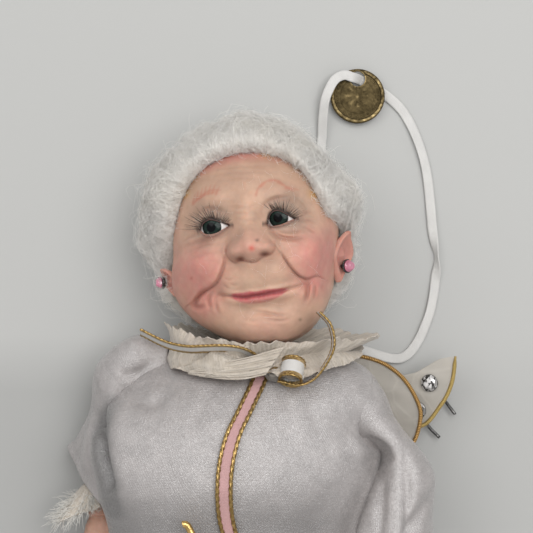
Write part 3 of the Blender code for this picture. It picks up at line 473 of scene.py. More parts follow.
class Finish(Web):
    """One Principled material: plain values on its own sockets, and patterns fed in by set()."""

    def __init__(self, name, **plain):
        self.material = bpy.data.materials.new(name)
        self.material.use_nodes = True
        super().__init__(self.material.node_tree)
        self.shader = self.tree.nodes["Principled BSDF"]
        self.set(**plain)

    def set(self, **feeds):
        for key, value in feeds.items():
            if isinstance(value, (tuple, list)) and len(value) == 3 and "Color" in key:
                value = (*value, 1.0)
            self.feed(self.shader.inputs[key.replace("_", " ")], value)
        return self.material

    def bump(self, height, depth_mm, strength=1.0):
        feeds = {"Height": height, "Distance": depth_mm * MM, "Strength": strength}
        return self.add("Bump", feeds).outputs[0]

    def grain(self, scale):
        return self.shared(group("grain"), Scale=scale)

    def tinted(self, base, tint):
        return self.mix(1.0, base, tint, "MULTIPLY")

    def tones(self, value, low, high, tint, dark, bright):
        return self.fade(value, low, high, rgb(tint, dark), rgb(tint, bright))


def new_group(name, inputs, outputs):
    """A shader node group with named float or vector sockets."""
    kinds = {"f": "NodeSocketFloat", "v": "NodeSocketVector"}
    tree = bpy.data.node_groups.new(name, "ShaderNodeTree")
    for label, kind in inputs:
        tree.interface.new_socket(label, in_out="INPUT", socket_type=kinds[kind])
    for label, kind in outputs:
        tree.interface.new_socket(label, in_out="OUTPUT", socket_type=kinds[kind])
    web = Web(tree)
    return web, tree.nodes.new("NodeGroupInput").outputs, tree.nodes.new("NodeGroupOutput").inputs


def make_grain():
    """Fine surface grain: a coarse and a fine noise, as a height and a tone that changes over the surface."""
    web, feed, out = new_group("surface_grain", [("Scale", "f")], [("Height", "f"), ("Tone", "f")])
    at = web.place()
    coarse = web.noise(feed["Scale"], 4.0, 0.6, at)
    fine = web.noise(web.times(feed["Scale"], 7.0), 2.0, 0.5, at)
    height = web.sum("MULTIPLY_ADD", fine, 0.45, web.times(coarse, 0.55))
    web.feed(out["Height"], height)
    web.feed(out["Tone"], web.noise(web.times(feed["Scale"], 0.21), 3.0, 0.55, at))
    return web.tree


def make_weave():
    """Woven threads on a UV map: crossed rounded waves, and the share by which the warp lies on top."""
    inputs = [("Vector", "v"), ("Across", "f"), ("Along", "f"), ("Slant", "f")]
    web, feed, out = new_group("woven_threads", inputs, [("Height", "f"), ("Top", "f")])
    x, y, _ = web.split(feed["Vector"])
    a = web.times(x, web.times(feed["Across"], TAU))
    b = web.times(y, web.times(feed["Along"], TAU))
    a = web.sum("MULTIPLY_ADD", b, feed["Slant"], a)
    warp, weft = web.sum("SINE", a), web.sum("SINE", b)
    top = web.sum("SINE", web.times(web.sum("ADD", a, b), 0.5))
    top = web.spread(top, -0.4, 0.4)
    height = web.mix(
        top, web.add("CombineXYZ", {0: weft}).outputs[0], web.add("CombineXYZ", {0: warp}).outputs[0]
    )
    web.feed(out["Height"], web.spread(web.split(height)[0], -1.0, 1.0))
    web.feed(out["Top"], top)
    return web.tree


def make_twist():
    """Twisted thread on a UV map: slanted ridges that run round as they run along."""
    inputs = [("Vector", "v"), ("Across", "f"), ("Along", "f")]
    web, feed, out = new_group("twisted_thread", inputs, [("Height", "f")])
    x, y, _ = web.split(feed["Vector"])
    turn = web.sum("MULTIPLY_ADD", y, feed["Along"], web.times(x, feed["Across"]))
    web.feed(out["Height"], web.spread(web.sum("SINE", web.times(turn, TAU)), -1.0, 1.0))
    return web.tree


def make_wear():
    """Patchy wear: two noises multiplied and sharpened into a mask."""
    inputs = [("Scale", "f"), ("Low", "f"), ("High", "f")]
    web, feed, out = new_group("patchy_wear", inputs, [("Mask", "f")])
    at = web.place()
    large = web.noise(feed["Scale"], 5.0, 0.65, at, 0.4)
    small = web.noise(web.times(feed["Scale"], 5.0), 3.0, 0.6, at)
    both = web.sum("MULTIPLY_ADD", small, 0.35, web.times(large, 0.65))
    web.feed(out["Mask"], web.spread(both, feed["Low"], feed["High"]))
    return web.tree


GROUPS = {}


def group(name):
    """The shared effect of that name, built the first time it is asked for."""
    makers = {"grain": make_grain, "weave": make_weave, "twist": make_twist, "wear": make_wear}
    if name not in GROUPS:
        GROUPS[name] = makers[name]()
    return GROUPS[name]


def rgb(colour, share=1.0):
    """A setting's colour as a plain tuple, scaled."""
    return tuple(float(c) * share for c in colour)


def skin_finish(name, face):
    """Painted clay: stored paint, mottled by grain, with pores in its bump and a soft waxy depth."""
    f = Finish(name, Subsurface_Weight=0.45, Subsurface_Radius=(1.0, 0.42, 0.28), Subsurface_Scale=0.0022)
    f.set(Specular_IOR_Level=0.35)
    grain = f.grain(900.0)
    paint = f.stored("paint", "Color")
    tone = f.fade(grain["Tone"], 0.35, 0.65, (0.90, 0.88, 0.87), (1.06, 1.05, 1.04))
    fine = f.fade(grain["Height"], 0.3, 0.7, (0.95, 0.94, 0.93), (1.03, 1.03, 1.03))
    colour = f.tinted(f.tinted(paint, tone), fine)
    rough = f.spread(grain["Height"], 0.25, 0.75, face.gloss_low, face.gloss_low + 0.22)
    return f.set(Base_Color=colour, Roughness=rough, Normal=f.bump(grain["Height"], 0.10, 0.55))


def metal_finish(name, bright, dark, rough, scale=700.0, low=0.45, high=0.62):
    """Metal with tarnish: wear clears a dark film from the bright metal, which is smoother there."""
    f = Finish(name, Metallic=1.0)
    clear = f.shared(group("wear"), Scale=scale, Low=low, High=high)["Mask"]
    grain = f.grain(scale * 2.2)
    return f.set(
        Base_Color=f.mix(clear, rgb(dark), rgb(bright)),
        Roughness=f.spread(clear, 0.0, 1.0, rough + 0.22, rough),
        Normal=f.bump(grain["Height"], 0.05, 0.4),
    )


# Settings

def colour(label, note, value):
    """A colour setting."""
    return FloatVectorProperty(
        name=label, description=note, default=value, subtype="COLOR", size=3, min=0.0, max=1.0
    )


def length(label, note, millimetres):
    """A length setting, held in metres."""
    return FloatProperty(
        name=label, description=note, default=millimetres * MM, min=0.0, subtype="DISTANCE", unit="LENGTH"
    )


class DollStage(bpy.types.PropertyGroup):
    """Floor, light and camera."""

    floor: colour("Floor", "Colour of the pale sheet under the doll", (0.50, 0.50, 0.487))
    sky: FloatProperty(name="Sky", description="Strength of the even light", default=0.54, min=0.0)
    key: FloatProperty(
        name="Key light", description="Power of the large soft lamp", default=4.6, min=0.0, unit="POWER"
    )
    lens: FloatProperty(
        name="Lens", description="Focal length of the camera in millimetres", default=88.65, min=1.0
    )


class DollFace(bpy.types.PropertyGroup):
    """Clay head, its paint and its eyes."""

    skin: colour("Skin", "Bare clay", (0.575, 0.38, 0.28))
    blush: colour("Blush", "Rosy paint on cheeks, nose and ears", (0.60, 0.205, 0.195))
    lips: colour("Lips", "Lip paint", (0.47, 0.135, 0.14))
    shadow: colour("Eye shadow", "Grey paint round the eyes", (0.235, 0.185, 0.15))
    brows: colour("Brows", "Brow strokes", (0.52, 0.20, 0.14))
    iris: colour("Iris", "Glass iris", (0.012, 0.022, 0.018))
    gloss_low: FloatProperty(
        name="Smoothness", description="Lowest roughness of the clay", default=0.42, min=0, max=1
    )
    lash_length: length("Lashes", "Longest lash", 6.4)


class DollHair(bpy.types.PropertyGroup):
    """Wool hair."""

    wool: colour("Wool", "Colour of the fleece", (0.84, 0.815, 0.775))
    fibre: length("Fibre", "Radius of one fibre", 0.05)
    fibres: IntProperty(name="Fibres", description="Fibres in each lock of the fleece", default=3900, min=10)


class DollCloth(bpy.types.PropertyGroup):
    """Gown, sleeves, stuffing and slippers."""

    satin: colour("Satin", "Gown and sleeves", (0.415, 0.387, 0.377))
    muslin: colour("Muslin", "Stuffed body and legs", (0.66, 0.62, 0.54))
    slipper: colour("Slippers", "Pointed slippers", (0.62, 0.46, 0.47))
    cloth: length("Cloth", "Thickness of the satin", 0.5)


class DollTrim(bpy.types.PropertyGroup):
    """Lace, ribbons, cord, stones and metal."""

    lace: colour("Lace", "Collar and cuffs", (0.60, 0.54, 0.47))
    ribbon: colour("White ribbon", "Hanging ribbon and bow", (0.74, 0.73, 0.705))
    pink: colour("Pink ribbon", "Ribbon down the front", (0.62, 0.37, 0.365))
    gold: colour("Gold", "Woven gold edge, cord and wand", (0.60, 0.40, 0.15))
    film: colour("Wing film", "Milky leaf of the wings", (0.565, 0.53, 0.475))
    gem: colour("Stud", "Stones of the earrings", (0.62, 0.20, 0.30))
    brass: colour("Brass", "Bright brass of the tag", (0.36, 0.27, 0.13))
    ribbon_width: length("Bow ribbon width", "Width of the gold-edged ribbon of the bow", 6.2)
    front_width: length("Front ribbon width", "Width of the pink ribbon down the front", 4.8)
    hanger_width: length("Hanger width", "Width of the hanging ribbon", 3.0)


class Piece:
    """What the operators share: each makes its pieces from the scene's settings."""

    def execute(self, context):
        self.make(context.scene)
        return {"FINISHED"}


# Stage

FLOOR_HALF, FLOOR_LEVEL = 900.0, -0.4
# Lamps: place, size, share of the key light's power
LAMPS = {"key_lamp": ((0.16, 0.22, 0.60), 0.40, 0.50), "fill_lamp": ((-0.36, 0.38, 0.60), 0.45, 0.25)}
LAMP_AIM = (0.0, 0.09, 0.02)
CAMERA_PLACE, SENSOR_WIDTH = (0.0024, 0.090, 0.420), 36.0


class DOLL_OT_stage(Piece, bpy.types.Operator):
    """Pale floor with a band of painted shade, plain soft light and a camera straight above the doll"""

    bl_idname = "doll.stage"
    bl_label = "Stage"

    def make(self, scene):
        look = scene.doll_stage
        scene.view_settings.view_transform = "Standard"
        reach = np.array((-FLOOR_HALF, FLOOR_HALF))
        floor = surface("floor", xyz(reach[None], reach[:, None], FLOOR_LEVEL))
        f = Finish("pale_sheet", Roughness=0.8, Specular_IOR_Level=0.2)
        tone = f.grain(14.0)["Tone"]
        across, along, _ = f.split(f.place())
        # Painted shade: the sheet darker in a soft band towards the bottom, most on the left
        fold = f.times(f.spread(along, 0.050, 0.068, 1.0, 0.0), f.spread(across, -0.06, 0.08, 0.85, 0.25))
        sheet = f.mix(tone, rgb(look.floor, 0.97), rgb(look.floor, 1.03))
        f.set(Base_Color=f.mix(fold, sheet, rgb(look.floor, 0.80)))
        floor.data.materials.append(f.material)
        sky = bpy.data.worlds.new("soft_room")
        sky.use_nodes = True
        web = Web(sky.node_tree)
        back = sky.node_tree.nodes["Background"]
        height = web.split(web.place("Generated"))[2]
        back.inputs["Strength"].default_value = look.sky
        web.feed(
            back.inputs["Color"],
            web.fade(height, -0.2, 0.9, (0.78, 0.80, 0.84), (1.06, 1.05, 1.03)),
        )
        scene.world = sky
        for name, (spot, size, share) in LAMPS.items():
            lamp = bpy.data.lights.new(name, "AREA")
            lamp.size = size
            lamp.energy = look.key * share
            holder = bpy.data.objects.new(name, lamp)
            aim = np.array(spot) - LAMP_AIM
            level = math.hypot(aim[0], aim[1])
            holder.rotation_euler = (math.atan2(level, aim[2]), 0.0, math.atan2(aim[0], -aim[1]))
            holder.location = spot
            scene.collection.objects.link(holder)
        camera = bpy.data.cameras.new("photo_camera")
        camera.sensor_width = SENSOR_WIDTH
        camera.lens = look.lens
        camera.clip_start = 0.01
        holder = bpy.data.objects.new("photo_camera", camera)
        holder.location = CAMERA_PLACE
        scene.collection.objects.link(holder)
        scene.camera = holder


# Hanging ribbon and tag

TAG_HOLE = np.array((31.4, 87.7))
TAG_CENTRE = np.array((31.4, 82.2))
TAG_RADIUS, TAG_HOLE_RADIUS, TAG_LOW, TAG_TOP = 8.6, 2.4, 1.5, 2.9
HANGER_ROUTE = (
    (-2.6, -0.8, 7.2), (2.0, 4.0, 4.0), (10.0, 12.0, 1.0), (20.0, 26.0, 0.5), (23.0, 42.0, 0.5),
    (20.0, 62.0, 0.5), (20.2, 70.0, 0.9), (20.4, 76.0, 2.6), (21.2, 81.5, 4.2), (23.8, 86.8, 4.6),
    (26.9, 88.6, 4.4), (29.7, 88.0, 3.7), (31.4, 87.7, 2.2), (33.1, 87.1, 0.6), (37.4, 84.9, 0.4),
    (46.7, 76.5, 0.4), (53.1, 60.5, 0.4), (55.4, 39.7, 0.5), (56.6, 26.9, 0.4), (53.8, 10.9, 0.4),
    (46.0, -1.0, 0.4), (32.0, 1.5, 0.4), (16.0, 4.2, 0.6), (8.0, 2.0, 3.6), (3.0, -1.0, 7.2),
)


def ribbon_finish(name, tint, across, along, gold=None, edge=0.0):
    """Satin ribbon on its UV map: fine weft ribs, and woven gold along both edges where it has them."""
    f = Finish(name, Sheen_Weight=0.25, Sheen_Roughness=0.4, Specular_IOR_Level=0.5)
    at = f.place("UV")
    weave = f.shared(group("weave"), Vector=at, Across=across, Along=along, Slant=0.0)
    grain = f.grain(600.0)
    base = f.tones(grain["Tone"], 0.3, 0.7, tint, 0.90, 1.04)
    base = f.fade(weave["Height"], 0.2, 0.8, f.tinted(base, (0.88, 0.87, 0.87)), base)
    if gold is None:
        rough = f.spread(weave["Height"], 0.0, 1.0, 0.5, 0.36)
        return f.set(Base_Color=base, Roughness=rough, Normal=f.bump(weave["Height"], 0.05, 0.6))
    twist = f.shared(group("twist"), Vector=at, Across=9.0, Along=along * 0.42)["Height"]
    x = f.split(at)[0]
    rim = f.sum("GREATER_THAN", f.sum("ABSOLUTE", f.sum("SUBTRACT", x, 0.5)), 0.5 - edge)
    # Gold thread: painted shade in the grooves of its twist, painted highlight on its ridges
    thread = f.tones(twist, 0.15, 0.85, gold, 0.22, 1.35)
    height = f.sum("ADD", weave["Height"], f.times(rim, f.times(twist, 3.0)))
    return f.set(
        Base_Color=f.mix(rim, base, thread),
        Metallic=f.times(rim, 0.85),
        Roughness=f.spread(rim, 0.0, 1.0, 0.42, 0.30),
        Normal=f.bump(height, 0.07, 0.8),
    )


def ribbon_grid(path, width, across, columns=9, crown=0.0):
    """A flat ribbon: points across each step of a path, over its width, a little crowned."""
    share = np.linspace(-1, 1, columns)[None, :, None]
    across = unit(across)[:, None]
    normal = np.cross(across[:, 0], unit(np.gradient(path, axis=0)))[:, None]
    return path[:, None] + across * share * width / 2 + normal * crown * (1 - share**2)


class DOLL_OT_hanging_ribbon(Piece, bpy.types.Operator):
    """White satin ribbon sewn to the back, threaded through the tag, with one twist in its right run"""

    bl_idname = "doll.hanging_ribbon"
    bl_label = "Hanging ribbon"

    def make(self, scene):
        trim = scene.doll_trim
        width = trim.hanger_width / MM
        path = smooth_path(HANGER_ROUTE, 420)
        ahead = np.gradient(path, axis=0)
        level = unit(xyz(-ahead[:, 1], ahead[:, 0], np.zeros(len(path))))
        share = shares(len(path))
        lean = 0.30 * np.sin(TAU * share * 5) + 1.1 * bell(share - 0.683, 0.02)
        across = level * np.cos(lean)[:, None] + UP * np.sin(lean)[:, None]
        raised = path + UP * (np.abs(np.sin(lean)) * width / 2)[:, None]
        obj = thicken(surface("ribbon_hanging", ribbon_grid(raised, width, across, 7)), HANGER_THICK)
        finish = ribbon_finish("hanger_satin", trim.ribbon, 26.0, 900.0)
        dress(obj, finish, "torso", "white_ribbon", "hanging_ribbon")
        run = float(np.linalg.norm(np.diff(path, axis=0), axis=1).sum()) * MM


class DOLL_OT_tag(Piece, bpy.types.Operator):
    """Worn brass disc with a raised rim, a ring of beads and a plain rosette"""

    bl_idname = "doll.tag"
    bl_label = "Brass tag"

    def make(self, scene):
        trim = scene.doll_trim
        angle = circle(288)[None]
        spoke = np.stack([np.cos(angle), np.sin(angle)], axis=-1)
        share = shares(96)[:, None, None]
        inner, outer = TAG_HOLE + TAG_HOLE_RADIUS * spoke, TAG_CENTRE + TAG_RADIUS * spoke
        flat = inner + (outer - inner) * share
        away = flat - TAG_CENTRE
        radius = np.linalg.norm(away, axis=-1)
        turn = np.arctan2(away[..., 1], away[..., 0])
        rim = ease(radius, 7.2, 7.6) * (1 - 0.6 * ease(radius, 8.15, 8.6))
        beads = np.maximum(np.cos(turn * 36), 0) ** 0.7 * bell(radius - 6.6, 0.3)
        petals = (0.55 + 0.45 * np.cos(turn * 8)) * bell(radius - 3.0, 1.3)
        ring = bell(radius - 5.4, 0.16)
        boss = bell(radius, 1.0)
        edge_of_hole = np.linalg.norm(flat - TAG_HOLE, axis=-1) - TAG_HOLE_RADIUS
        lip = bell(edge_of_hole, 0.35)
        relief = 0.32 * rim + 0.16 * beads + 0.20 * petals + 0.10 * ring + 0.18 * boss
        clear = ease(edge_of_hole, 0.1, 0.7)
        top = TAG_TOP - 0.34 + relief * clear + 0.10 * lip
        low = np.full_like(top, TAG_LOW) + 0.06 * ease(radius, 8.1, 8.6)
        upper = np.concatenate([flat, top[..., None]], axis=-1)
        lower = np.concatenate([flat, low[..., None]], axis=-1)
        wall = 0.5 * (upper[-1:] + lower[-1:])
        bulge = np.concatenate([0.05 * spoke, np.zeros_like(spoke[..., :1])], axis=-1)
        obj = surface("tag_disc", np.concatenate([upper, wall + bulge, lower[::-1]]), (True, True))
        raised = np.concatenate([(relief + 0.3 * lip).ravel(), np.zeros(angle.size), np.zeros(relief.size)])
        mark(obj, "raised", np.clip(raised / 0.32, 0, 1))
        f = Finish("worn_brass", Metallic=1.0)
        wear = f.shared(group("wear"), Scale=260.0, Low=0.40, High=0.66)["Mask"]
        grain = f.grain(1500.0)
        high = f.stored("raised")
        shine = f.times(f.spread(high, 0.15, 0.9, 0.25, 1.0), wear)
        tarnish = f.mix(grain["Tone"], rgb(trim.brass, 0.08), rgb(trim.brass, 0.24))
        f.set(
            Base_Color=f.mix(shine, tarnish, rgb(trim.brass, 1.0)),
            Roughness=f.spread(shine, 0.0, 1.0, 0.62, 0.34),
            Normal=f.bump(grain["Height"], 0.06, 0.5),
        )
        dress(obj, f.material, "tag", "worn_brass", "brass_tag")


# Head

HALF_HEAD = np.array((25.0, 31.0, 24.0))
HEAD_GRID = (330, 280)
NECK_LEVELS, NECK_HEIGHT, NECK_RADIUS = (-0.6, 3.0, 8.0, 14.0, 20.0), 24.0, 7.5
EYE_RADIUS, EYE_HEIGHT = 5.9, 15.78
# How far the clay of the lids stands off the eyeball, and its socket lies below it
LID_RISE, SOCKET_DEPTH = 0.75, 0.7
EYES = {
    "left": {
        "centre": (-9.6, 5.0),
        "gaze": (-0.215, -0.03),
        "upper": ((-14.3, 4.4), (-13.2, 6.4), (-11.1, 7.3), (-8.9, 6.7), (-5.3, 4.6)),
        "lower": ((-14.3, 4.4), (-13.1, 3.1), (-11.5, 2.6), (-9.2, 2.8), (-5.3, 4.6)),
    },
    "right": {
        "centre": (9.6, 5.0),
        "gaze": (-0.24, -0.03),
        "upper": ((4.9, 3.6), (5.8, 6.1), (7.6, 7.2), (9.8, 6.6), (13.0, 3.8)),
        "lower": ((4.9, 3.6), (5.7, 2.6), (7.3, 2.4), (9.4, 2.6), (13.0, 3.8)),
    },
}
# Large forms: middle across and up, reach across and up, push out, push aside
FORMS = (
    (0.0, -1.7, 4.4, 4.6, 2.4, 0.0), (0.0, 6.0, 3.0, 7.5, 2.4, 0.0), (4.7, -3.0, 2.2, 2.4, 3.6, 0.5),
    (0.0, -2.4, 3.0, 2.6, 1.0, 0.0), (9.6, 5.0, 5.6, 4.6, -2.0, 0.0), (9.6, 12.8, 6.5, 3.0, 1.7, 0.0),
    (15.6, -6.2, 7.6, 6.6, 4.8, 0.6), (0.0, -10.5, 8.0, 4.5, 2.6, 0.0), (0.0, -27.0, 14.0, 6.8, 6.6, 0.0),
    (0.0, -20.4, 9.0, 2.2, -1.0, 0.0), (15.0, -20.0, 6.5, 6.0, 2.6, 0.8), (0.0, 18.0, 12.0, 7.0, 1.0, 0.0),
)
# Outline of the face against the egg, by the angle below the right ear
OUTLINE = (
    (-200.0, 1.0), (-178.0, 1.02), (-152.0, 1.15), (-125.0, 1.06), (-98.0, 1.02), (-68.0, 1.035),
    (-48.0, 0.99), (-19.0, 0.93), (0.0, 0.965), (20.0, 1.0), (90.0, 1.0), (160.0, 1.0), (182.0, 1.02),
)
# Folds where clay hangs over: line, side that hangs, its lift, fall below, reach of the lift
FOLDS = (
    (
        (
            (-7.7, -4.2), (-8.0, -5.9), (-9.3, -8.6), (-11.1, -10.8), (-13.3, -12.1), (-15.6, -13.0),
            (-17.6, -13.8),
        ),
        -1, 1.7, 0.55, 4.8,
    ),
    (
        (
            (7.6, -5.0), (8.9, -7.9), (10.5, -10.8), (12.0, -12.6), (13.7, -13.4), (16.1, -13.0),
            (18.0, -14.2),
        ),
        1, 1.7, 0.55, 4.8,
    ),
    (
        (
            (-6.8, -2.4), (-6.2, -4.5), (-5.2, -5.8), (-3.4, -5.5), (-1.9, -5.8), (-0.3, -6.4), (1.1, -6.4),
            (2.9, -5.5), (4.5, -5.2), (5.8, -4.2), (6.3, -2.9),
        ),
        1, 0.8, 1.3, 2.4,
    ),
)
# Creases: line, depth, width, share of red-brown painted shade in the crease
CREASES = (
    (((-10.8, 21.4), (-3.0, 20.9), (5.0, 20.3), (11.0, 18.9)), 0.14, 0.42, 0.08),
    (((-9.6, 19.4), (-3.0, 19.5), (3.4, 18.5), (9.4, 17.4)), 0.20, 0.45, 0.12),
    (((-7.4, 17.5), (-1.0, 17.5), (5.2, 16.4)), 0.15, 0.42, 0.08),
    (((-4.4, 9.4), (0.0, 8.8), (4.2, 9.1)), 0.24, 0.45, 0.12),
    (((-4.0, 7.6), (0.0, 7.0), (3.8, 7.2)), 0.22, 0.4, 0.12),
    (((-3.6, 6.0), (0.0, 5.3), (3.4, 5.6)), 0.20, 0.4, 0.1),
    (((-3.0, 4.4), (0.0, 3.8), (3.0, 4.0)), 0.16, 0.4, 0.08),
    (((-20.7, 0.5), (-15.4, 1.3), (-11.6, 1.7), (-7.8, 2.3), (-4.6, 3.6)), 0.85, 0.55, 0.55),
    (((-19.1, -1.4), (-14.0, 0.2), (-9.4, 0.2)), 0.40, 0.5, 0.35),
    (((-17.6, -3.4), (-13.0, -2.2), (-8.6, -2.4)), 0.20, 0.5, 0.15),
    (((4.9, 3.0), (6.7, 0.7), (8.9, -1.0), (11.9, -1.7), (14.8, -1.5)), 1.0, 0.55, 0.7),
    (((5.8, 2.0), (8.4, 1.0), (11.1, 0.5), (14.4, 0.6)), 0.36, 0.42, 0.35),
    (((-15.4, 4.6), (-17.6, 5.2), (-19.4, 5.2)), 0.35, 0.4, 0.25),
    (((-15.4, 3.6), (-17.8, 3.0), (-19.8, 2.0)), 0.35, 0.4, 0.25),
    (((13.8, 4.2), (16.0, 5.2), (18.0, 5.4)), 0.36, 0.4, 0.3),
    (((14.0, 3.2), (16.4, 2.9), (18.6, 2.1)), 0.40, 0.4, 0.3),
    (((13.9, 2.0), (16.0, 0.6), (18.0, -1.0)), 0.36, 0.4, 0.3),
    (((-2.4, -20.4), (1.4, -21.4), (4.0, -22.2), (7.0, -22.7)), 0.42, 0.45, 0.25),
    (((0.6, -22.8), (4.5, -23.7), (7.6, -23.4)), 0.34, 0.45, 0.22),
    (((-5.4, -22.2), (-2.6, -22.9), (-0.6, -22.7)), 0.22, 0.5, 0.1),
    (((-13.6, -12.0), (-16.2, -13.2), (-17.7, -15.2), (-16.4, -16.4), (-14.6, -16.6)), 0.80, 0.6, 0.75),
    (((-13.2, -13.6), (-14.2, -15.4), (-13.6, -17.8)), 0.55, 0.5, 0.5),
    (((-11.4, -14.6), (-12.4, -16.8), (-11.8, -19.6)), 0.45, 0.5, 0.3),
    (((13.4, -14.5), (12.8, -17.0), (11.4, -20.0)), 0.70, 0.5, 0.7),
    (((15.4, -15.2), (14.9, -17.0), (14.1, -19.0)), 0.50, 0.45, 0.55),
    (((17.4, -15.4), (16.8, -17.2)), 0.35, 0.45, 0.35),
    (((-8.8, -9.8), (-7.4, -10.6), (-6.0, -10.2)), 0.2, 0.4, 0.12),
    (((-7.8, -11.6), (-6.2, -12.2), (-5.0, -11.9)), 0.2, 0.4, 0.12),
    (((-9.6, -11.8), (-8.2, -12.9)), 0.2, 0.4, 0.12),
    (((-5.6, -0.4), (-6.6, -1.6), (-6.9, -3.0)), 0.5, 0.5, 0.4),
    (((5.1, -0.9), (6.1, -2.4), (6.4, -3.8)), 0.5, 0.5, 0.4),
    (((-14.9, 9.2), (-11.0, 10.0), (-6.6, 8.6)), 0.45, 0.6, 0.25),
    (((4.2, 6.8), (5.6, 9.2), (9.4, 10.2), (13.8, 8.6)), 0.45, 0.6, 0.3),
)
MOUTH = (
    (-10.6, -14.7), (-7.8, -15.2), (-5.6, -15.7), (-3.5, -16.0), (-2.0, -15.8), (0.2, -15.9), (3.0, -15.7),
    (5.8, -15.7), (8.6, -15.3), (12.8, -14.7),
)
LIP_TOP = (
    (-8.4, -14.9), (-6.6, -14.7), (-4.4, -14.8), (-2.2, -14.7), (-0.6, -15.0), (2.2, -14.8), (5.0, -15.0),
    (8.4, -15.2),
)
LIP_LOW = (
    (-7.8, -15.6), (-5.1, -17.3), (-2.2, -17.9), (0.7, -18.0), (3.5, -17.6), (5.9, -16.7), (8.2, -15.5)
)
BROWS = (
    ((-15.6, 12.8), (-14.8, 15.0)), ((-14.2, 13.4), (-13.7, 15.8)), ((-12.9, 13.9), (-12.3, 16.4)),
    ((-11.7, 14.2), (-11.0, 16.6)), ((-10.4, 14.4), (-9.6, 16.8)), ((-9.2, 14.3), (-8.3, 16.6)),
    ((-8.1, 13.9), (-7.0, 15.8)), ((-15.6, 12.4), (-12.4, 14.1), (-8.0, 14.6)),
    ((-13.4, 13.4), (-10.2, 15.2), (-6.6, 14.8)), ((3.2, 11.9), (4.0, 13.8), (5.6, 15.2)),
    ((4.8, 14.2), (6.8, 15.6), (9.0, 15.4)), ((7.4, 15.5), (9.4, 15.2), (11.2, 13.8)),
    ((9.6, 14.8), (11.6, 13.2), (13.6, 11.6)), ((11.6, 12.8), (13.4, 12.4), (15.0, 11.8)),
)
# The ball of the nose: its oval and its push
NOSE_BALL, NOSE_PUSH = (0.0, -1.9, 5.1, 5.2, 3.2), 5.0
# Dents at the corners of the mouth and the nostrils: middle, reach across and up, depth, red-brown painted
# shade
DENTS = (
    (-10.8, -14.8, 1.3, 1.5, 1.0, 0.35), (13.0, -14.8, 1.3, 1.5, 1.0, 0.35),
    (-3.0, -5.1, 1.1, 0.55, 1.6, 1.5), (3.5, -4.8, 1.1, 0.55, 1.6, 1.5),
)
# Painted spots: middle, size, colour
SPOTS = (
    (2.4, -0.8, 0.42, (0.16, 0.10, 0.08)), (0.8, -2.7, 0.75, (0.62, 0.13, 0.10)),
    (9.6, -24.0, 0.38, (0.20, 0.15, 0.10)), (-17.6, -8.4, 0.4, (0.45, 0.12, 0.10)),
)
# Ochre flecks at the hairline: middle, reach
FLECKS = ((-18.6, 15.9, 1.6), (-15.4, 20.4, 1.4), (8.0, 23.6, 2.4), (19.2, 10.4, 1.5))
# Rims of the lids: radius, paint
LIDS = {"upper": (0.46, (0.17, 0.10, 0.09)), "lower": (0.40, (0.36, 0.20, 0.16))}
# Ears: height above and below the middle, height of the middle, distance of the root
EARS = {"left": (4.4, 4.6, -9.0, 26.9), "right": (7.2, 7.4, -8.4, 23.6)}
# Lashes: count, random seeds, share of the full length
LASHES, LASH_SEEDS, LASH_SHARE = 62, {"left": 21, "right": 22}, {"left": 1.0, "right": 0.86}
# Studs: place of the lobe, direction out of it; and the profile of their cups
STUDS = {"left": ((-27.6, -8.9, -1.0), (-1, 0.1, 0.25)), "right": ((22.9, -11.2, 1.6), (1, -0.1, 0.8))}
STUD_PROFILE = ((0.5, -2.0), (0.5, 1.6), (1.2, 1.9), (1.95, 2.4), (2.05, 3.0), (1.85, 3.0), (1.5, 2.5))


def line_height(x, line, count=40):
    """Height at each x of the smooth line through given places."""
    return np.interp(x, *smooth_path(line, count).T)


def lid_height(eye, x, grow):
    """Upper and lower lid edges at x, moved apart by a margin."""
    return line_height(x, eye["upper"], 60) + grow, line_height(x, eye["lower"], 60) - grow


def eye_opening(eye, x, y, grow=0.0):
    """Whether a place on the face lies inside the almond between the lids."""
    top, low = lid_height(eye, x, grow)
    first, last = eye["upper"][0][0] - grow, eye["upper"][-1][0] + grow
    return (x > first) & (x < last) & (y < top) & (y > low)


def ball_height(eye, x, y, radius):
    """Height of a ball round the eye's centre, and far below outside it."""
    cx, cy = eye["centre"]
    inside = radius**2 - (x - cx) ** 2 - (y - cy) ** 2
    return np.where(inside > 0, EYE_HEIGHT + np.sqrt(np.maximum(inside, 0)), -40.0)


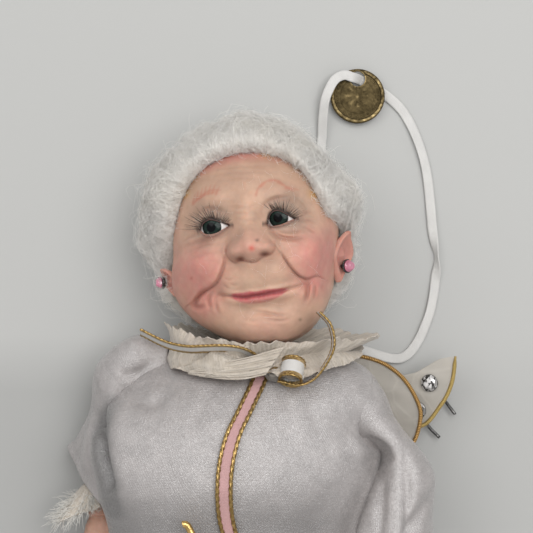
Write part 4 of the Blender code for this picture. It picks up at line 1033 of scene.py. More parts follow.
def model_face(points):
    """Model the clay front: push it by each form, hang the cheeks over their folds, press the creases,
    part the lips and raise the lids over the eyeballs. Returns the points and the painted shade of the
    creases, folds and dents."""
    out = points.copy()
    x, y = points[:, 0], points[:, 1]
    front = np.clip(points[:, 2] / 6.0, 0, 1)
    for fx, fy, wide, high, push, aside in FORMS:
        for side in (1, -1) if fx else (1,):
            share = front * blob(x, y, side * fx, fy, wide, high)
            out[:, 2] += push * share
            out[:, 0] += side * aside * share
    out[:, 2] += NOSE_PUSH * front * blob(x, y, *NOSE_BALL)
    angle = np.degrees(np.arctan2(y, x))
    rim = ease(np.hypot(x / HALF_HEAD[0], y / HALF_HEAD[1]), 0.68, 0.98) * ease(points[:, 2], -16.0, 0.0)
    out[:, :2] *= (1 + (stations(angle, *zip(*OUTLINE)) - 1) * rim)[:, None]
    crease_shade = np.zeros(len(points))
    flat = points[:, :2]
    near = np.nonzero(front > 0.02)[0]
    for line, hangs, lift, fall, reach in FOLDS:
        far, side, share = to_line(flat[near], smooth_path(line, 40))
        taper = arch(np.clip(share, 0.03, 0.97), 0.5)
        up = lift * bell(far, reach) * ease(far, -0.6, 0.9)
        down = -fall * np.exp(-((far / (0.45 * reach)) ** 1.4))
        crease = -0.5 * bell(far, 0.36)
        out[near, 2] += taper * (np.where(side == hangs, up, down) + crease) * front[near]
        crease_shade[near] += 0.6 * taper * bell(far, 0.42)
    for line, depth, wide, tint in CREASES:
        box = np.array(line)
        near = np.nonzero(
            (front > 0.02) & (np.abs(flat - box.mean(0)) < np.ptp(box, axis=0) / 2 + 2.5).all(1)
        )[0]
        far, _, share = to_line(flat[near], smooth_path(line, 16))
        taper = arch(np.clip(share, 0.03, 0.97), 0.7)
        press = taper * (bell(far, wide) - 0.35 * bell(far - 1.9 * wide, wide))
        out[near, 2] -= depth * press * front[near]
        crease_shade[near] += tint * taper * bell(far, 1.3 * wide)
    line = line_height(x, MOUTH)
    wide = np.clip(1 - ((x - 0.4) / 12.0) ** 2, 0, 1)
    part = wide**0.5 * bell(y - line, 0.40)
    upper = wide * bell(y - line - 0.9, 0.8)
    lower = wide**1.5 * bell(y - line + 1.35, 1.15)
    out[:, 2] += front * (0.8 * upper + 1.5 * lower - 1.4 * part)
    for dx, dy, wide, high, depth, tint in DENTS:
        dent = blob(x, y, dx, dy, wide, high)
        out[:, 2] -= depth * front * dent
        crease_shade += tint * dent
    for eye in EYES.values():
        dome = ball_height(eye, x, y, EYE_RADIUS + LID_RISE)
        gap = out[:, 2] - dome
        out[:, 2] = np.where(front > 0, (out[:, 2] + dome + np.sqrt(gap**2 + 1.0)) / 2, out[:, 2])
        hole = eye_opening(eye, x, y) & (front > 0)
        out[:, 2] = np.where(hole, ball_height(eye, x, y, EYE_RADIUS - SOCKET_DEPTH), out[:, 2])
    return out, np.clip(crease_shade, 0, 1)


def wash(paint, tint, share):
    """Lay a thin coat of paint over what is there, by a share for each point."""
    return paint + (np.asarray(tint) - paint) * np.clip(share, 0, 1)[:, None]


def blob(x, y, cx, cy, wide, high, power=2.0):
    """A soft oval mask."""
    return np.exp(-((((x - cx) / wide) ** 2 + ((y - cy) / high) ** 2) ** (power / 2)))


def face_paint(points, crease_shade, face):
    """Colours of the clay face: mottled skin, rosy cheeks and nose, grey lids, lips and spots, with painted
    shade and light.
    """
    x, y = points[:, 0], points[:, 1]
    front = ease(points[:, 2], 2.0, 9.0)
    patch = ripple(0.45 * x, 0.45 * y, 1.3)
    paint = np.tile(np.array(rgb(face.skin)), (len(points), 1)) * (1 + 0.05 * patch)[:, None]
    rosy = blob(x, y, -15.6, -6.6, 8.2, 7.4, 2.6) + blob(x, y, 17.2, -7.0, 7.8, 7.6, 2.6)
    rosy += 0.75 * blob(x, y, -15.5, -16.5, 5.0, 4.5) + 0.7 * blob(x, y, 15.6, -15.8, 5.5, 4.5)
    rosy += 0.42 * blob(x, y, 0.0, -2.2, 6.4, 4.2) + 0.30 * blob(x, y, 0.0, -26.5, 9.0, 5.0)
    rosy += 0.95 * ease(y + 0.012 * x**2, 20.5, 25.0) + 0.3 * ease(np.abs(x), 19.0, 23.5) * (y > -24)
    # Painted shade: the clay darker over the brow and forehead
    paint = wash(paint, rgb(face.skin, 0.82), 0.7 * ease(y, 9.0, 19.0))
    share = 0.62 + 0.12 * ripple(1.6 * x, 1.6 * y, 4.0)
    paint = wash(paint, rgb(face.blush), share * np.clip(rosy, 0, 1.0) * (0.4 + 0.6 * front))
    # Painted light: the clay lighter over the upper lip, under the nose
    paint = wash(paint, rgb(face.skin, 1.10), 0.45 * blob(x, y, 0.0, -11.0, 6.5, 3.6))
    for eye, reach in ((EYES["left"], -1), (EYES["right"], 1)):
        cx, cy = eye["centre"]
        smoke = 0.75 * blob(x, y, cx + 1.2 * reach, cy + 2.0, 6.0, 5.0, 3.2)
        smoke = smoke + 0.42 * blob(x, y, cx + 3.2 * reach, cy - 3.4, 5.0, 2.8)
        paint = wash(paint, rgb(face.shadow), (0.84 + 0.16 * ripple(2.0 * x, 2.0 * y, 2.0)) * smoke * front)
        top, low = lid_height(eye, x, 0.0)
        opening = eye_opening(eye, x, y, 1.0)
        rim = opening * bell(np.minimum(np.abs(y - top), np.abs(y - low)), 0.7)
        paint = wash(paint, (0.10, 0.06, 0.05), 0.75 * rim * front)
        # Painted shade in the socket inside the lids, behind the eyeball
        paint = wash(paint, (0.05, 0.03, 0.03), eye_opening(eye, x, y) * front)
    mouth = line_height(x, MOUTH)
    lip = (
        ease(line_height(x, LIP_TOP) + 0.25 - y, -0.25, 0.25)
        * ease(y + 0.2 - line_height(x, LIP_LOW), -0.3, 0.3)
    )
    lip *= ease(x, -8.6, -6.8) * ease(-x, -8.8, -6.6) * (front > 0)
    fade = 1.0 - 0.40 * ease(mouth - y, 0.2, 2.0)
    paint = wash(paint, rgb(face.lips), fade * lip * (1 + 0.15 * ripple(3.0 * x, 1.0 * y, 7.0)))
    seam = bell(y - mouth, 0.32) * (0.25 + 0.75 * blob(x, y, -1.5, -15.7, 7.5, 3.0, 4.0))
    seam = seam * (x > MOUTH[0][0]) * (x < MOUTH[-1][0]) * front
    paint = wash(paint, (0.20, 0.04, 0.04), 0.75 * seam)
    # Painted shade in red-brown along the creases, folds and dents
    paint = wash(paint, (0.27, 0.075, 0.05), 0.60 * crease_shade * front)
    # Painted shade in the nostrils
    paint = wash(
        paint, (0.13, 0.04, 0.03),
        (blob(x, y, -3.0, -5.2, 0.9, 0.4) + blob(x, y, 3.5, -4.8, 0.9, 0.42)) * front,
    )
    flat = points[:, :2]
    near = np.nonzero((y > 9) & (y < 18) & (front > 0))[0]
    for stroke in BROWS:
        far, _, share = to_line(flat[near], smooth_path(stroke, 10))
        mask = bell(far, 0.42 - 0.22 * share) * (1 - 0.35 * share)
        paint[near] = wash(paint[near], rgb(face.brows), 0.60 * mask)
    for sx, sy, size, tint in SPOTS:
        paint = wash(paint, tint, 0.8 * blob(x, y, sx, sy, size, size) * front)
    for sx, sy, reach in FLECKS:
        paint = wash(paint, (0.55, 0.30, 0.06), 0.85 * blob(x, y, sx, sy, reach, 1.2))
    return np.clip(paint, 0, 1)


def head_grid(around, rings):
    """Places on the egg of the head, packed closer at the front: turns and rises."""
    turn = circle(around)
    turn = turn - 0.62 * np.sin(turn)
    rise = np.linspace(-math.pi / 2, math.pi / 2, rings + 2)[1:-1, None]
    ball = xyz(np.cos(rise) * np.sin(turn), np.sin(rise), np.cos(rise) * np.cos(turn))
    return ball * HALF_HEAD


class DOLL_OT_head(Piece, bpy.types.Operator):
    """Modelled and painted clay head with lids, neck and pointed ears"""

    bl_idname = "doll.head"
    bl_label = "Clay head"

    def make(self, scene):
        face = scene.doll_face
        finish = skin_finish("painted_clay", face)
        grid = head_grid(*HEAD_GRID)
        flat = grid.reshape(-1, 3)
        made, crease_shade = model_face(flat)
        head = closed("head_clay", from_head(made).reshape(grid.shape))
        ends = np.array(((0, -1, 0), (0, 1, 0))) * HALF_HEAD
        mark(head, "paint", face_paint(np.vstack([flat, ends]), np.append(crease_shade, (0, 0)), face))
        dress(head, finish, "head", "clay_skin", "head")
        path = xyz(0.0, np.array(NECK_LEVELS), NECK_HEIGHT)
        neck = closed("neck_clay", tube(smooth_path(path, 24), NECK_RADIUS, 48))
        plain_paint(neck, rgb(face.skin, 0.9))
        dress(neck, finish, "head", "clay_skin")
        for word, side in SIDES:
            self.lids(word, finish)
            self.ear(word, side, face, finish)

    def lids(self, word, finish):
        """Rolled lid edges: a thin round rim along both edges of the almond, resting on the eyeball."""
        eye = EYES[word]
        for kind, (radius, tint) in LIDS.items():
            line = smooth_path(eye[kind], 44)
            z = ball_height(eye, line[:, 0], line[:, 1], EYE_RADIUS + 0.25)
            z = np.maximum(z, z[len(z) // 2] - 4.2)
            share = arch(np.linspace(0.06, 0.94, len(line)), 0.5)
            path = from_head(np.column_stack([line, z]))
            rim = closed(f"lid_{kind}_{word}", tube(path, radius * share, 14))
            plain_paint(rim, tint)
            dress(rim, finish, "head", "clay_skin")

    def ear(self, word, side, face, finish):
        """A pointed ear: a flat leaf drawn up to its tip, hollowed in front of a rolled edge."""
        a = circle(72)[None]
        r = np.linspace(0.03, 1, 28)[:, None]
        up = np.sin(a)
        tall, low, foot, root = EARS[word]
        z = r * np.cos(a) * 4.2 * (1 - 0.7 * np.abs(up) ** 1.3) * (1 + 0.3 * up)
        y = r * up * np.where(up > 0, tall, low)
        dish = 1.3 * bell(r - 0.42, 0.3) - 0.6 * ease(r, 0.72, 0.95)
        thick = 1.15 * np.sqrt(np.clip(1 - r**4, 0, 1)) + 0.12
        lean = 0.27 * y - 0.62 * z + 0.8 * ease(y, 0.6 * tall, tall)
        out = []
        for sheet in (1, -1):
            push = lean + np.where(sheet > 0, thick - dish, -thick)
            out.append(xyz(side * (root + push), y + foot, z + 2.8))
        rows = np.concatenate([out[0], out[1][::-1]])
        ear = closed(f"ear_{word}", from_head(rows))
        hollow = np.concatenate([dish * np.ones_like(a), 0 * dish[::-1] * np.ones_like(a)]).ravel()
        hollow = np.append(hollow, (0.5, 0.5))
        paint = np.tile(np.array(rgb(face.skin)) * 0.5 + np.array(rgb(face.blush)) * 0.45, (len(hollow), 1))
        # Painted shade in the ear's hollow, in dark pink
        mark(ear, "paint", wash(paint, (0.45, 0.17, 0.16), 0.35 * np.clip(hollow, 0, 1)))
        dress(ear, finish, "head", "clay_skin")


class DOLL_OT_eyes(Piece, bpy.types.Operator):
    """Glass eyes with a dark streaked iris, and long dark lashes on the upper lids"""

    bl_idname = "doll.eyes"
    bl_label = "Eyes and lashes"

    def make(self, scene):
        face = scene.doll_face
        glass = self.glass(face)
        dark = Finish("dark_lashes", Roughness=0.55)
        dark.set(Base_Color=dark.mix(dark.grain(800.0)["Tone"], (0.012, 0.009, 0.008), (0.05, 0.035, 0.028)))
        for word in EYES:
            self.eyeball(word, glass)
            self.lashes(word, face, dark.material)

    def glass(self, face):
        """Glass eye: rings by the angle from the gaze, pupil, streaked iris, dark limbus and veined white."""
        f = Finish("eye_glass", Roughness=0.10, Coat_Weight=0.12, Coat_Roughness=0.03, Specular_IOR_Level=0.1)
        angle = f.stored("gaze")
        streak = f.noise(60.0, 2.0, 0.6, f.stretch(f.place("UV"), (1.0, 0.02, 1.0)))
        iris = f.tones(streak, 0.35, 0.65, face.iris, 0.35, 2.0)
        iris = f.fade(angle, 0.36, 0.50, iris, rgb(face.iris, 0.12))
        iris = f.fade(angle, 0.21, 0.25, (0.002, 0.002, 0.003), iris)
        vein = f.grain(500.0)["Tone"]
        white = f.fade(vein, 0.3, 0.7, (0.60, 0.555, 0.53), (0.72, 0.69, 0.675))
        return f.set(Base_Color=f.fade(angle, 0.495, 0.53, iris, white))

    def eyeball(self, word, glass):
        """A ball turned to its gaze, swelling over the iris: rings by the angle from the gaze."""
        eye = EYES[word]
        gx, gy = eye["gaze"]
        ahead = np.array((gx, gy, math.sqrt(1 - gx * gx - gy * gy)))
        side = unit(np.cross((0, 1.0, 0), ahead))
        up = np.cross(ahead, side)
        tilt = np.linspace(0.02, math.pi - 0.02, 90)[:, None]
        turn = circle(96)[None]
        radius = EYE_RADIUS - 0.12 + 0.22 * bell(tilt, 0.40)
        spoke = wheel(turn[..., None], side, up)
        ball = radius[..., None] * wheel(tilt[..., None], ahead, spoke)
        centre = np.array((*eye["centre"], EYE_HEIGHT))
        obj = closed(f"eyeball_{word}", from_head(ball + centre))
        mark(obj, "gaze", np.append(np.broadcast_to(tilt, (90, 96)).ravel(), (0.0, math.pi)))
        dress(obj, glass, "head", "eye_glass", f"eye_{word}")

    def lashes(self, word, face, dark):
        """Lashes: fine curled strands that leave the upper lid outward and forward, from a thin band."""
        eye = EYES[word]
        draw = np.random.default_rng(LASH_SEEDS[word])
        upper, count = smooth_path(eye["upper"], 200), LASHES
        at = np.clip(np.linspace(0.03, 0.97, count) + draw.normal(0, 0.008, count), 0.01, 0.99)
        root = np.stack([read_row(at, upper[:, k]) for k in range(2)], axis=1)
        outer = 1 - at if word == "left" else at
        centre = np.array(eye["centre"]) + (0, -1.4)
        fan = unit(root - centre) + draw.normal(0, 0.13, (count, 2))
        reach = face.lash_length / MM * (0.52 + 0.42 * outer) * draw.uniform(0.55, 1.0, count)
        reach *= LASH_SHARE[word]
        t = shares(7)[None, :, None]
        z = ball_height(eye, root[:, 0], root[:, 1], EYE_RADIUS + 0.45)
        start = np.column_stack([root, np.maximum(z, z.max() - 3.6)])[:, None]
        out = np.column_stack([fan, np.zeros(count)])[:, None]
        curl = reach[:, None, None] * (out * (0.45 * t + 0.55 * t**2) + UP * (0.9 * t - 0.45 * t**2))
        radius = 0.075 * (1 - 0.7 * t[..., 0])
        strands = strand_mesh(f"lashes_{word}", start + curl, radius, 5, from_head)
        line = smooth_path(eye["upper"], 40)
        z = ball_height(eye, line[:, 0], line[:, 1], EYE_RADIUS + 0.55)
        path = from_head(np.column_stack([line, np.maximum(z, z.max() - 3.6)]))
        share = arch(np.linspace(0.05, 0.95, 40), 0.5)
        band = closed(f"lash_line_{word}", tube(path, 0.22 * share, 10))
        obj = merge(f"lashes_{word}", [strands, band])
        dress(obj, dark, "head", "lashes", f"lash_band_{word}")


class DOLL_OT_earrings(Piece, bpy.types.Operator):
    """Stud earrings: faceted pink stones in dark cups"""

    bl_idname = "doll.earrings"
    bl_label = "Earrings"

    def make(self, scene):
        trim = scene.doll_trim
        f = Finish(
            "pink_stone", Roughness=0.08, Coat_Weight=1.0, Coat_Roughness=0.02, IOR=1.7,
            Specular_IOR_Level=0.8,
        )
        tone = f.grain(420.0)["Tone"]
        f.set(Base_Color=f.tones(tone, 0.35, 0.65, trim.gem, 0.55, 1.35))
        dark = metal_finish("dark_metal", (0.30, 0.29, 0.28), (0.05, 0.05, 0.05), 0.3)
        for word, (lobe, out) in STUDS.items():
            lobe, out = np.array(lobe), unit(np.array(out))
            gem = facet_stone(f"stud_gem_{word}", from_head(lobe + out * 2.5), HEAD_TURN @ out, 1.8, 2.4)
            dress(gem, f.material, "head", "pink_gem", f"earring_gem_{word}")
            cup = spun(f"stud_cup_{word}", from_head(lobe), HEAD_TURN @ out, np.array(STUD_PROFILE), 32)
            dress(cup, dark, "head", "dark_metal", f"earring_post_{word}")


# Corners of a cut stone's rings; for each ring shares of its radius and depth, and its turn in corners
CORNERS = 16
FACETS = ((0.30, 0.0, 0), (1.0, 0.32, 0), (1.0, 0.42, 0), (0.82, 0.72, 0.5), (0.52, 1.0, 0))


def square_axes(axis):
    """An axis of length one, and two directions square to it and to each other."""
    axis = unit(np.asarray(axis, float))
    side = unit(np.cross(axis, (0.3, 1.0, 0.2)))
    return axis, side, np.cross(axis, side)


def spun(name, foot, axis, profile, around):
    """A profile of radius and height turned round an axis, closed at both ends."""
    axis, side, lift = square_axes(axis)
    angle = circle(around)[None, :, None]
    spoke = wheel(angle, side, lift)
    points = foot + profile[:, 0][:, None, None] * spoke + profile[:, 1][:, None, None] * axis
    return closed(name, points)


def facet_stone(name, foot, axis, radius, depth):
    """A cut stone, flat-shaded: rings of corners from its foot over the girdle to the table."""
    axis, side, lift = square_axes(axis)
    rows = []
    for share, height, shift in FACETS:
        angle = (np.arange(CORNERS) + shift) * TAU / CORNERS
        spoke = wheel(angle[:, None], side, lift)
        rows.append(foot + radius * share * spoke + depth * height * axis)
    stone = closed(name, np.array(rows))
    shade(stone.data, False)
    return stone


# Hair

# Round the head from the right ear over the crown: angle, hairline reach, its height, outline reach
FLEECE = (
    (-25.0, 26.0, -7.0, 26.6), (-8.0, 25.2, -5.0, 26.4), (2.0, 23.8, 1.0, 28.0), (12.0, 22.6, None, 29.8),
    (21.0, 22.3, None, 31.2), (30.0, 22.5, None, 30.4), (45.0, 24.1, None, 29.4), (61.0, 24.9, None, 33.0),
    (81.0, 25.4, None, 35.4), (101.0, 25.6, None, 35.8), (120.0, 25.6, None, 35.8),
    (141.0, 24.9, None, 35.8), (167.0, 24.6, 6.0, 33.8), (186.0, 25.6, 0.0, 32.0),
    (205.0, 25.8, -5.0, 31.5), (235.0, 26.0, -10.0, 28.8), (270.0, 24.0, -15.0, 25.6),
    (305.0, 25.4, -11.0, 27.0), (335.0, 26.0, -7.0, 26.6), (352.0, 25.2, -5.0, 26.4),
    (362.0, 23.8, 1.0, 28.0),
)
FLEECE_GRID, LOCKS, FIBRE_POINTS, FRONT_FIBRES = (240, 130), 5, 7, 0.76
STRAYS, STRAY_RADIUS, STRAY_SEED, LOCK_SEED = 46, 0.012, 77, 40


def picker(draw, count):
    """A call that draws one even random number for each strand."""
    return lambda low, high: draw.uniform(low, high, (count, 1))


def fleece_grid(columns, rows):
    """The fleece: at each angle round the head a profile from the hairline over a crest to the back."""
    known = np.array([row[0] for row in FLEECE])
    angle = np.linspace(0, 360, columns, endpoint=False)
    turn = np.radians(angle)
    reach, outline = (stations(angle, known, [row[k] for row in FLEECE]) for k in (1, 3))
    x, y = 0.985 * reach * np.cos(turn), 0.985 * reach * np.sin(turn)
    level = np.array([12.0 if row[2] is None else row[2] for row in FLEECE])
    level = stations(angle, known, level)
    inside = 1 - (x / HALF_HEAD[0]) ** 2 - (y / HALF_HEAD[1]) ** 2
    skin = HALF_HEAD[2] * np.sqrt(np.maximum(inside, 0))
    level = np.where((angle > 10) & (angle < 155), skin + 0.6, level)
    crest = 1.0 + 3.4 * ease(np.sin(turn), -0.15, 0.7)
    room = outline - reach
    steps = (
        (reach - 0.6, level - 2.0), (reach - 0.2, level + 0.35 * crest),
        (reach + 0.32 * room, level + 0.85 * crest), (reach + 0.74 * room, 0.62 * level + 0.8 * crest),
        (outline, 0.12 * level - 0.5), (outline * 0.985, -9.0 + 0 * turn),
        (outline * 0.84, -19.5 + 0 * turn), (outline * 0.5, -27.0 + 0 * turn),
        (outline * 0.02, -28.6 + 0 * turn),
    )
    profile = np.array([np.concatenate(step) for step in steps])
    fine = smooth_path(profile, rows)
    away, height = fine[:, :columns], fine[:, columns:]
    points = xyz(away * np.cos(turn), away * np.sin(turn), height)
    puff = ripple(0.30 * points[..., 0] + 0.1 * height, 0.30 * points[..., 1] - 0.2 * height, 1.0)
    puff = 1.5 * puff + 0.7 * ripple(0.8 * points[..., 0], 0.8 * points[..., 1] + 0.7 * height, 3.0)
    share = shares(rows)[:, None]
    normal = grid_normals(points)
    return points + normal * (puff * ease(share, 0.04, 0.2))[..., None], normal


def on_grid(grid, row, column):
    """Points between the points of a grid whose columns wrap, by shares of its rows and columns."""
    rows, columns = grid.shape[:2]
    i = np.clip(row * (rows - 1), 0, rows - 1.001)
    j = (column % 1.0) * columns
    i0, j0 = i.astype(int), j.astype(int) % columns
    a, b = (i - i0)[..., None], (j - np.floor(j))[..., None]
    j1 = (j0 + 1) % columns
    low = grid[i0, j0] * (1 - b) + grid[i0, j1] * b
    return low * (1 - a) + (grid[i0 + 1, j0] * (1 - b) + grid[i0 + 1, j1] * b) * a


class DOLL_OT_hair(Piece, bpy.types.Operator):
    """White wool fleece: a soft puffed base and thousands of fine crimped fibres combed back from the face"""

    bl_idname = "doll.hair"
    bl_label = "Wool hair"

    def make(self, scene):
        hair = scene.doll_hair
        finish = self.wool(hair)
        grid, normal = fleece_grid(*FLEECE_GRID)
        base = closed("wool_base", self.settle(grid))
        dress(base, self.felt(hair), "head", "wool_hair", "hair")
        for index in range(LOCKS):
            dress(self.fibres(index, hair, grid, normal), finish, "head", "wool_hair")
        dress(self.strays(), finish, "head", "wool_hair")

    def strays(self):
        """Single shed fibres lying over the face: bent lines in plan, laid on the modelled clay."""
        draw = np.random.default_rng(STRAY_SEED)
        pick = picker(draw, STRAYS)
        t = np.linspace(-0.5, 0.5, 22)[None]
        turn, bend = pick(0, TAU), draw.normal(0, 0.9, (STRAYS, 1))
        run = pick(2.0, 6.5)
        x = pick(-16, 17) + run * t * np.cos(turn + bend * t)
        y = pick(-24, 20) + run * t * np.sin(turn + bend * t)
        inside = np.clip(1 - (x / HALF_HEAD[0]) ** 2 - (y / HALF_HEAD[1]) ** 2, 0.02, 1)
        base = xyz(x, y, HALF_HEAD[2] * np.sqrt(inside))
        made = model_face(base.reshape(-1, 3))[0].reshape(base.shape)
        made[..., 2] = np.maximum(made[..., 2], base[..., 2]) + 0.12 + 0.5 * np.maximum(0, np.abs(t) - 0.3)
        return strand_mesh("wool_strays", made, STRAY_RADIUS, 9, self.settle)

    def settle(self, points):
        """Place in the doll's axes, flattened where the back of the head lies on the floor."""
        out = from_head(points)
        out[..., 2] = np.maximum(out[..., 2], 0.4)
        return out

    def wool(self, hair):
        """Wool fibre: each with its own tone by its place on the UV map, yellower in patches."""
        f = Finish(
            "wool_fibre", Roughness=0.62, Sheen_Weight=0.5, Sheen_Roughness=0.45, Specular_IOR_Level=0.3
        )
        strand = f.noise(900.0, 1.0, 0.5, f.stretch(f.place("UV"), (1.0, 0.001, 1.0)))
        patch = f.grain(160.0)["Tone"]
        tone = f.tones(strand, 0.3, 0.7, hair.wool, 0.93, 1.06)
        return f.set(Base_Color=f.mix(f.spread(patch, 0.52, 0.72, 0.0, 0.4), tone, (0.90, 0.84, 0.72)))

    def felt(self, hair):
        """The matted wool below: soft clumps and fine crimped grain."""
        f = Finish("wool_felt", Roughness=0.9, Sheen_Weight=0.6, Sheen_Roughness=0.5, Specular_IOR_Level=0.15)
        grain = f.grain(520.0)
        fine = f.noise(1700.0, 4.0, 0.65, f.stretch(f.place(), (1.0, 0.35, 0.6)), 0.6)
        tone = f.tones(grain["Tone"], 0.3, 0.7, hair.wool, 0.94, 1.04)
        height = f.sum("ADD", grain["Height"], fine)
        base = f.fade(fine, 0.35, 0.6, f.tinted(tone, (0.93, 0.92, 0.90)), tone)
        return f.set(Base_Color=base, Normal=f.bump(height, 0.6, 0.8))

    def fibres(self, index, hair, grid, normal):
        """Fibres that follow the fleece from root to tip, arching off it, crimped by sine waves."""
        draw, count = np.random.default_rng(LOCK_SEED + index), hair.fibres
        pick = picker(draw, count)
        steps = shares(FIBRE_POINTS)[None]
        column = pick(0, 1)
        front = pick(0, 1) < FRONT_FIBRES
        row = np.where(front, pick(0.02, 0.44), pick(0.40, 0.93))
        run = pick(0.05, 0.17) * np.where(pick(0, 1) < 0.12, -0.7, 1.0)
        swirl = draw.normal(0.0, 0.036, (count, 1)) + 0.012 * np.sin(column * TAU * 3)
        rows = np.clip(row + run * steps, 0.015, 0.985)
        columns = column + swirl * steps**1.3
        place, away = on_grid(grid, rows, columns), on_grid(normal, rows, columns)
        stray = np.where(pick(0, 1) < 0.03, 2.0, 1.0)
        lift = stray * draw.gamma(2.0, 0.5, (count, 1)) * np.sin(steps * pick(1.2, 2.9))
        paths = place + away * (0.12 + np.maximum(lift, -0.2))[..., None]
        wave = pick(4.0, 11.0) * steps + pick(0, TAU)
        sway, bend = unit(draw.normal(size=(2, count, 1, 3)))
        crimp = pick(0.2, 0.8) * ease(steps, 0.0, 0.4)
        paths = (
            paths + (crimp * np.sin(wave))[..., None] * sway
            + (crimp * np.cos(1.3 * wave))[..., None] * bend
        )
        radius = hair.fibre / MM * pick(0.7, 1.25) * (1 - 0.55 * steps)
        return strand_mesh(f"wool_fibres_{index}", paths, radius, index, self.settle)


# Gown and sleeves

GOWN_ALONG = (-1.0, 3.0, 9.0, 18.0, 32.0, 50.0, 62.0, 98.0, 142.0, 185.0)
GOWN_LEFT = (-12.5, -26.6, -35.2, -40.4, -43.6, -43.4, -42.6, -41.0, -47.2, -59.0)
GOWN_RIGHT = (12.5, 26.6, 32.5, 33.4, 33.6, 33.8, 34.0, 37.4, 47.2, 59.0)
GOWN_FRONT = (36.5, 40.5, 45.4, 51.0, 54.0, 50.0, 50.0, 47.5, 45.75, 47.0)
GOWN_BACK = (12.0, 7.0, 2.5, -3.0, -5.0, -5.0, -5.0, -5.0, -5.0, -5.0)
GOWN_DRIFT = (0.0, 1.0, 2.6, 5.0, 6.6, 6.4, 5.9, 3.3, 0.7, 0.0)
GOWN_ROUND, GOWN_LIFT = 0.80, 0.5
# How far the bodice runs out over each sleeve, at distances from the shoulder
PANEL_ALONG = (-1.0, 3.0, 9.0, 18.0, 26.0, 36.0, 50.0, 62.0, 98.0, 185.0)
PANEL_LEFT = (0.0, 0.0, 3.0, 8.4, 7.0, 3.2, 0.0, 0.0, 0.0, 0.0)
PANEL_RIGHT = (0.0, 0.0, 0.0, 1.5, 4.4, 3.2, 1.0, 0.0, 0.0, 0.0)
# Rings of each sleeve: centre, reach to the outer edge, reach to the front
SLEEVE_RINGS = {
    "left": (
        ((-27.0, -4.0, 19.0), (0.0, 9.0, 0.0), (0.0, 2.0, 9.6)),
        ((-35.0, -3.0, 19.5), (-2.6, 9.2, 0.0), (-1.0, 4.0, 11.6)),
        ((-42.4, -8.6, 19.2), (-6.6, 6.2, -0.6), (-1.0, 2.6, 10.8)),
        ((-46.6, -19.0, 18.4), (-5.2, 3.4, -2.6), (0.6, 1.0, 9.2)),
        ((-49.2, -30.0, 17.6), (-7.0, 4.6, -4.6), (1.4, -1.6, 9.8)),
        ((-50.2, -37.6, 17.4), (-8.9, 8.0, -7.0), (3.0, -5.4, 10.8)),
    ),
    "right": (
        ((25.0, -14.0, 26.0), (0.6, 8.4, 0.0), (0.0, 0.0, 9.4)),
        ((32.6, -17.4, 27.4), (3.0, 6.2, 0.0), (0.0, 0.0, 10.6)),
        ((40.0, -24.6, 28.6), (3.7, 3.5, 0.0), (0.0, 0.0, 11.0)),
        ((42.2, -35.0, 30.0), (9.8, 2.0, 0.0), (0.0, 0.0, 12.0)),
        ((40.0, -48.0, 31.4), (11.2, 0.8, 0.0), (-0.8, 0.0, 13.8)),
        ((40.2, -62.0, 32.4), (12.6, 0.6, 0.0), (-1.4, 0.0, 14.8)),
        ((41.4, -74.5, 33.0), (15.2, 0.4, 0.0), (-1.8, 0.6, 15.6)),
    ),
}
# Lines pressed into the front of the gown, or raised where the depth is negative: places, depth, width
PUCKERS = (
    (((29.6, -17.0), (31.2, -20.5), (33.2, -23.4), (36.4, -26.2)), 2.6, 1.3),
    (((26.6, -19.0), (28.6, -24.0), (32.0, -28.0)), -1.2, 2.0),
    (((-38.0, -9.0), (-33.0, -11.0), (-26.0, -8.4)), 1.3, 2.2),
    (((31.0, -36.0), (28.0, -44.0), (25.0, -54.0)), 0.8, 2.0),
    (((-36.0, -60.0), (-20.0, -66.0), (0.0, -68.0), (22.0, -64.0)), 0.8, 4.0),
    (((-14.0, -4.0), (-16.0, -12.0), (-20.0, -20.0)), 0.5, 1.8),
    (((14.0, -5.0), (15.0, -12.0), (18.0, -20.0)), 0.5, 1.8), (((6.0, -5.0), (8.0, -13.0)), 0.5, 1.6),
    (((-24.0, -3.0), (-28.0, -10.0), (-30.0, -20.0)), 0.6, 2.4),
    (((-47.4, -13.0), (-47.6, -20.0), (-46.4, -28.0), (-43.0, -38.0)), 9.0, 2.8),
    (((20.0, -34.0), (16.0, -44.0), (14.0, -56.0)), 0.5, 3.0),
)
# Shade in the hollow between the left sleeve and the bodice: places, strength, width
HOLLOW = (
    (
        ((-42.4, -9.5), (-44.8, -16.0), (-45.8, -22.0), (-45.2, -28.0), (-43.2, -35.0), (-40.4, -45.0)),
        1.7, 3.0,
    ),
)
# Lines pressed into the front of each sleeve, as in the gown
SLEEVE_FOLDS = {
    "left": (
        (((-49.6, -17.0), (-51.2, -26.0), (-52.4, -35.0)), -1.2, 1.8),
        (((-30.0, 1.0), (-35.0, -3.6), (-41.5, -4.4)), 0.7, 1.6),
    ),
    "right": (
        (((36.6, -27.0), (35.4, -40.0), (33.4, -58.0)), 1.3, 1.7),
        (((42.6, -24.0), (43.0, -40.0), (42.0, -66.0)), 1.6, 1.8),
        (((52.4, -36.6), (47.6, -42.5), (43.6, -49.5), (41.6, -62.0)), 1.9, 2.0),
        (((31.0, -22.0), (35.4, -24.6), (38.6, -29.0)), 1.6, 1.5),
    ),
}
# How each sleeve runs into the gown: added reach on the shoulder, and the heights between which it grows
JOINS = {"left": (9.0, -15.0, -3.0), "right": (15.0, -24.0, -10.0)}
# Pleats towards each sleeve's hem: depth, count round it, shift
PLEATS = {"left": ((0.05, 5, 0.9), (0.03, 8, 0.0)), "right": ((0.085, 5, -0.6), (0.04, 9, 1.0))}
# Steps along each sleeve, and columns round each sleeve and round the gown
SLEEVE_STEPS, SLEEVE_COLUMNS, GOWN_COLUMNS = 90, 128, 224
# Length and width of each sleeve's cloth laid flat, in metres
SLEEVE_FLATS = {"left": (0.064, 0.050), "right": (0.082, 0.078)}


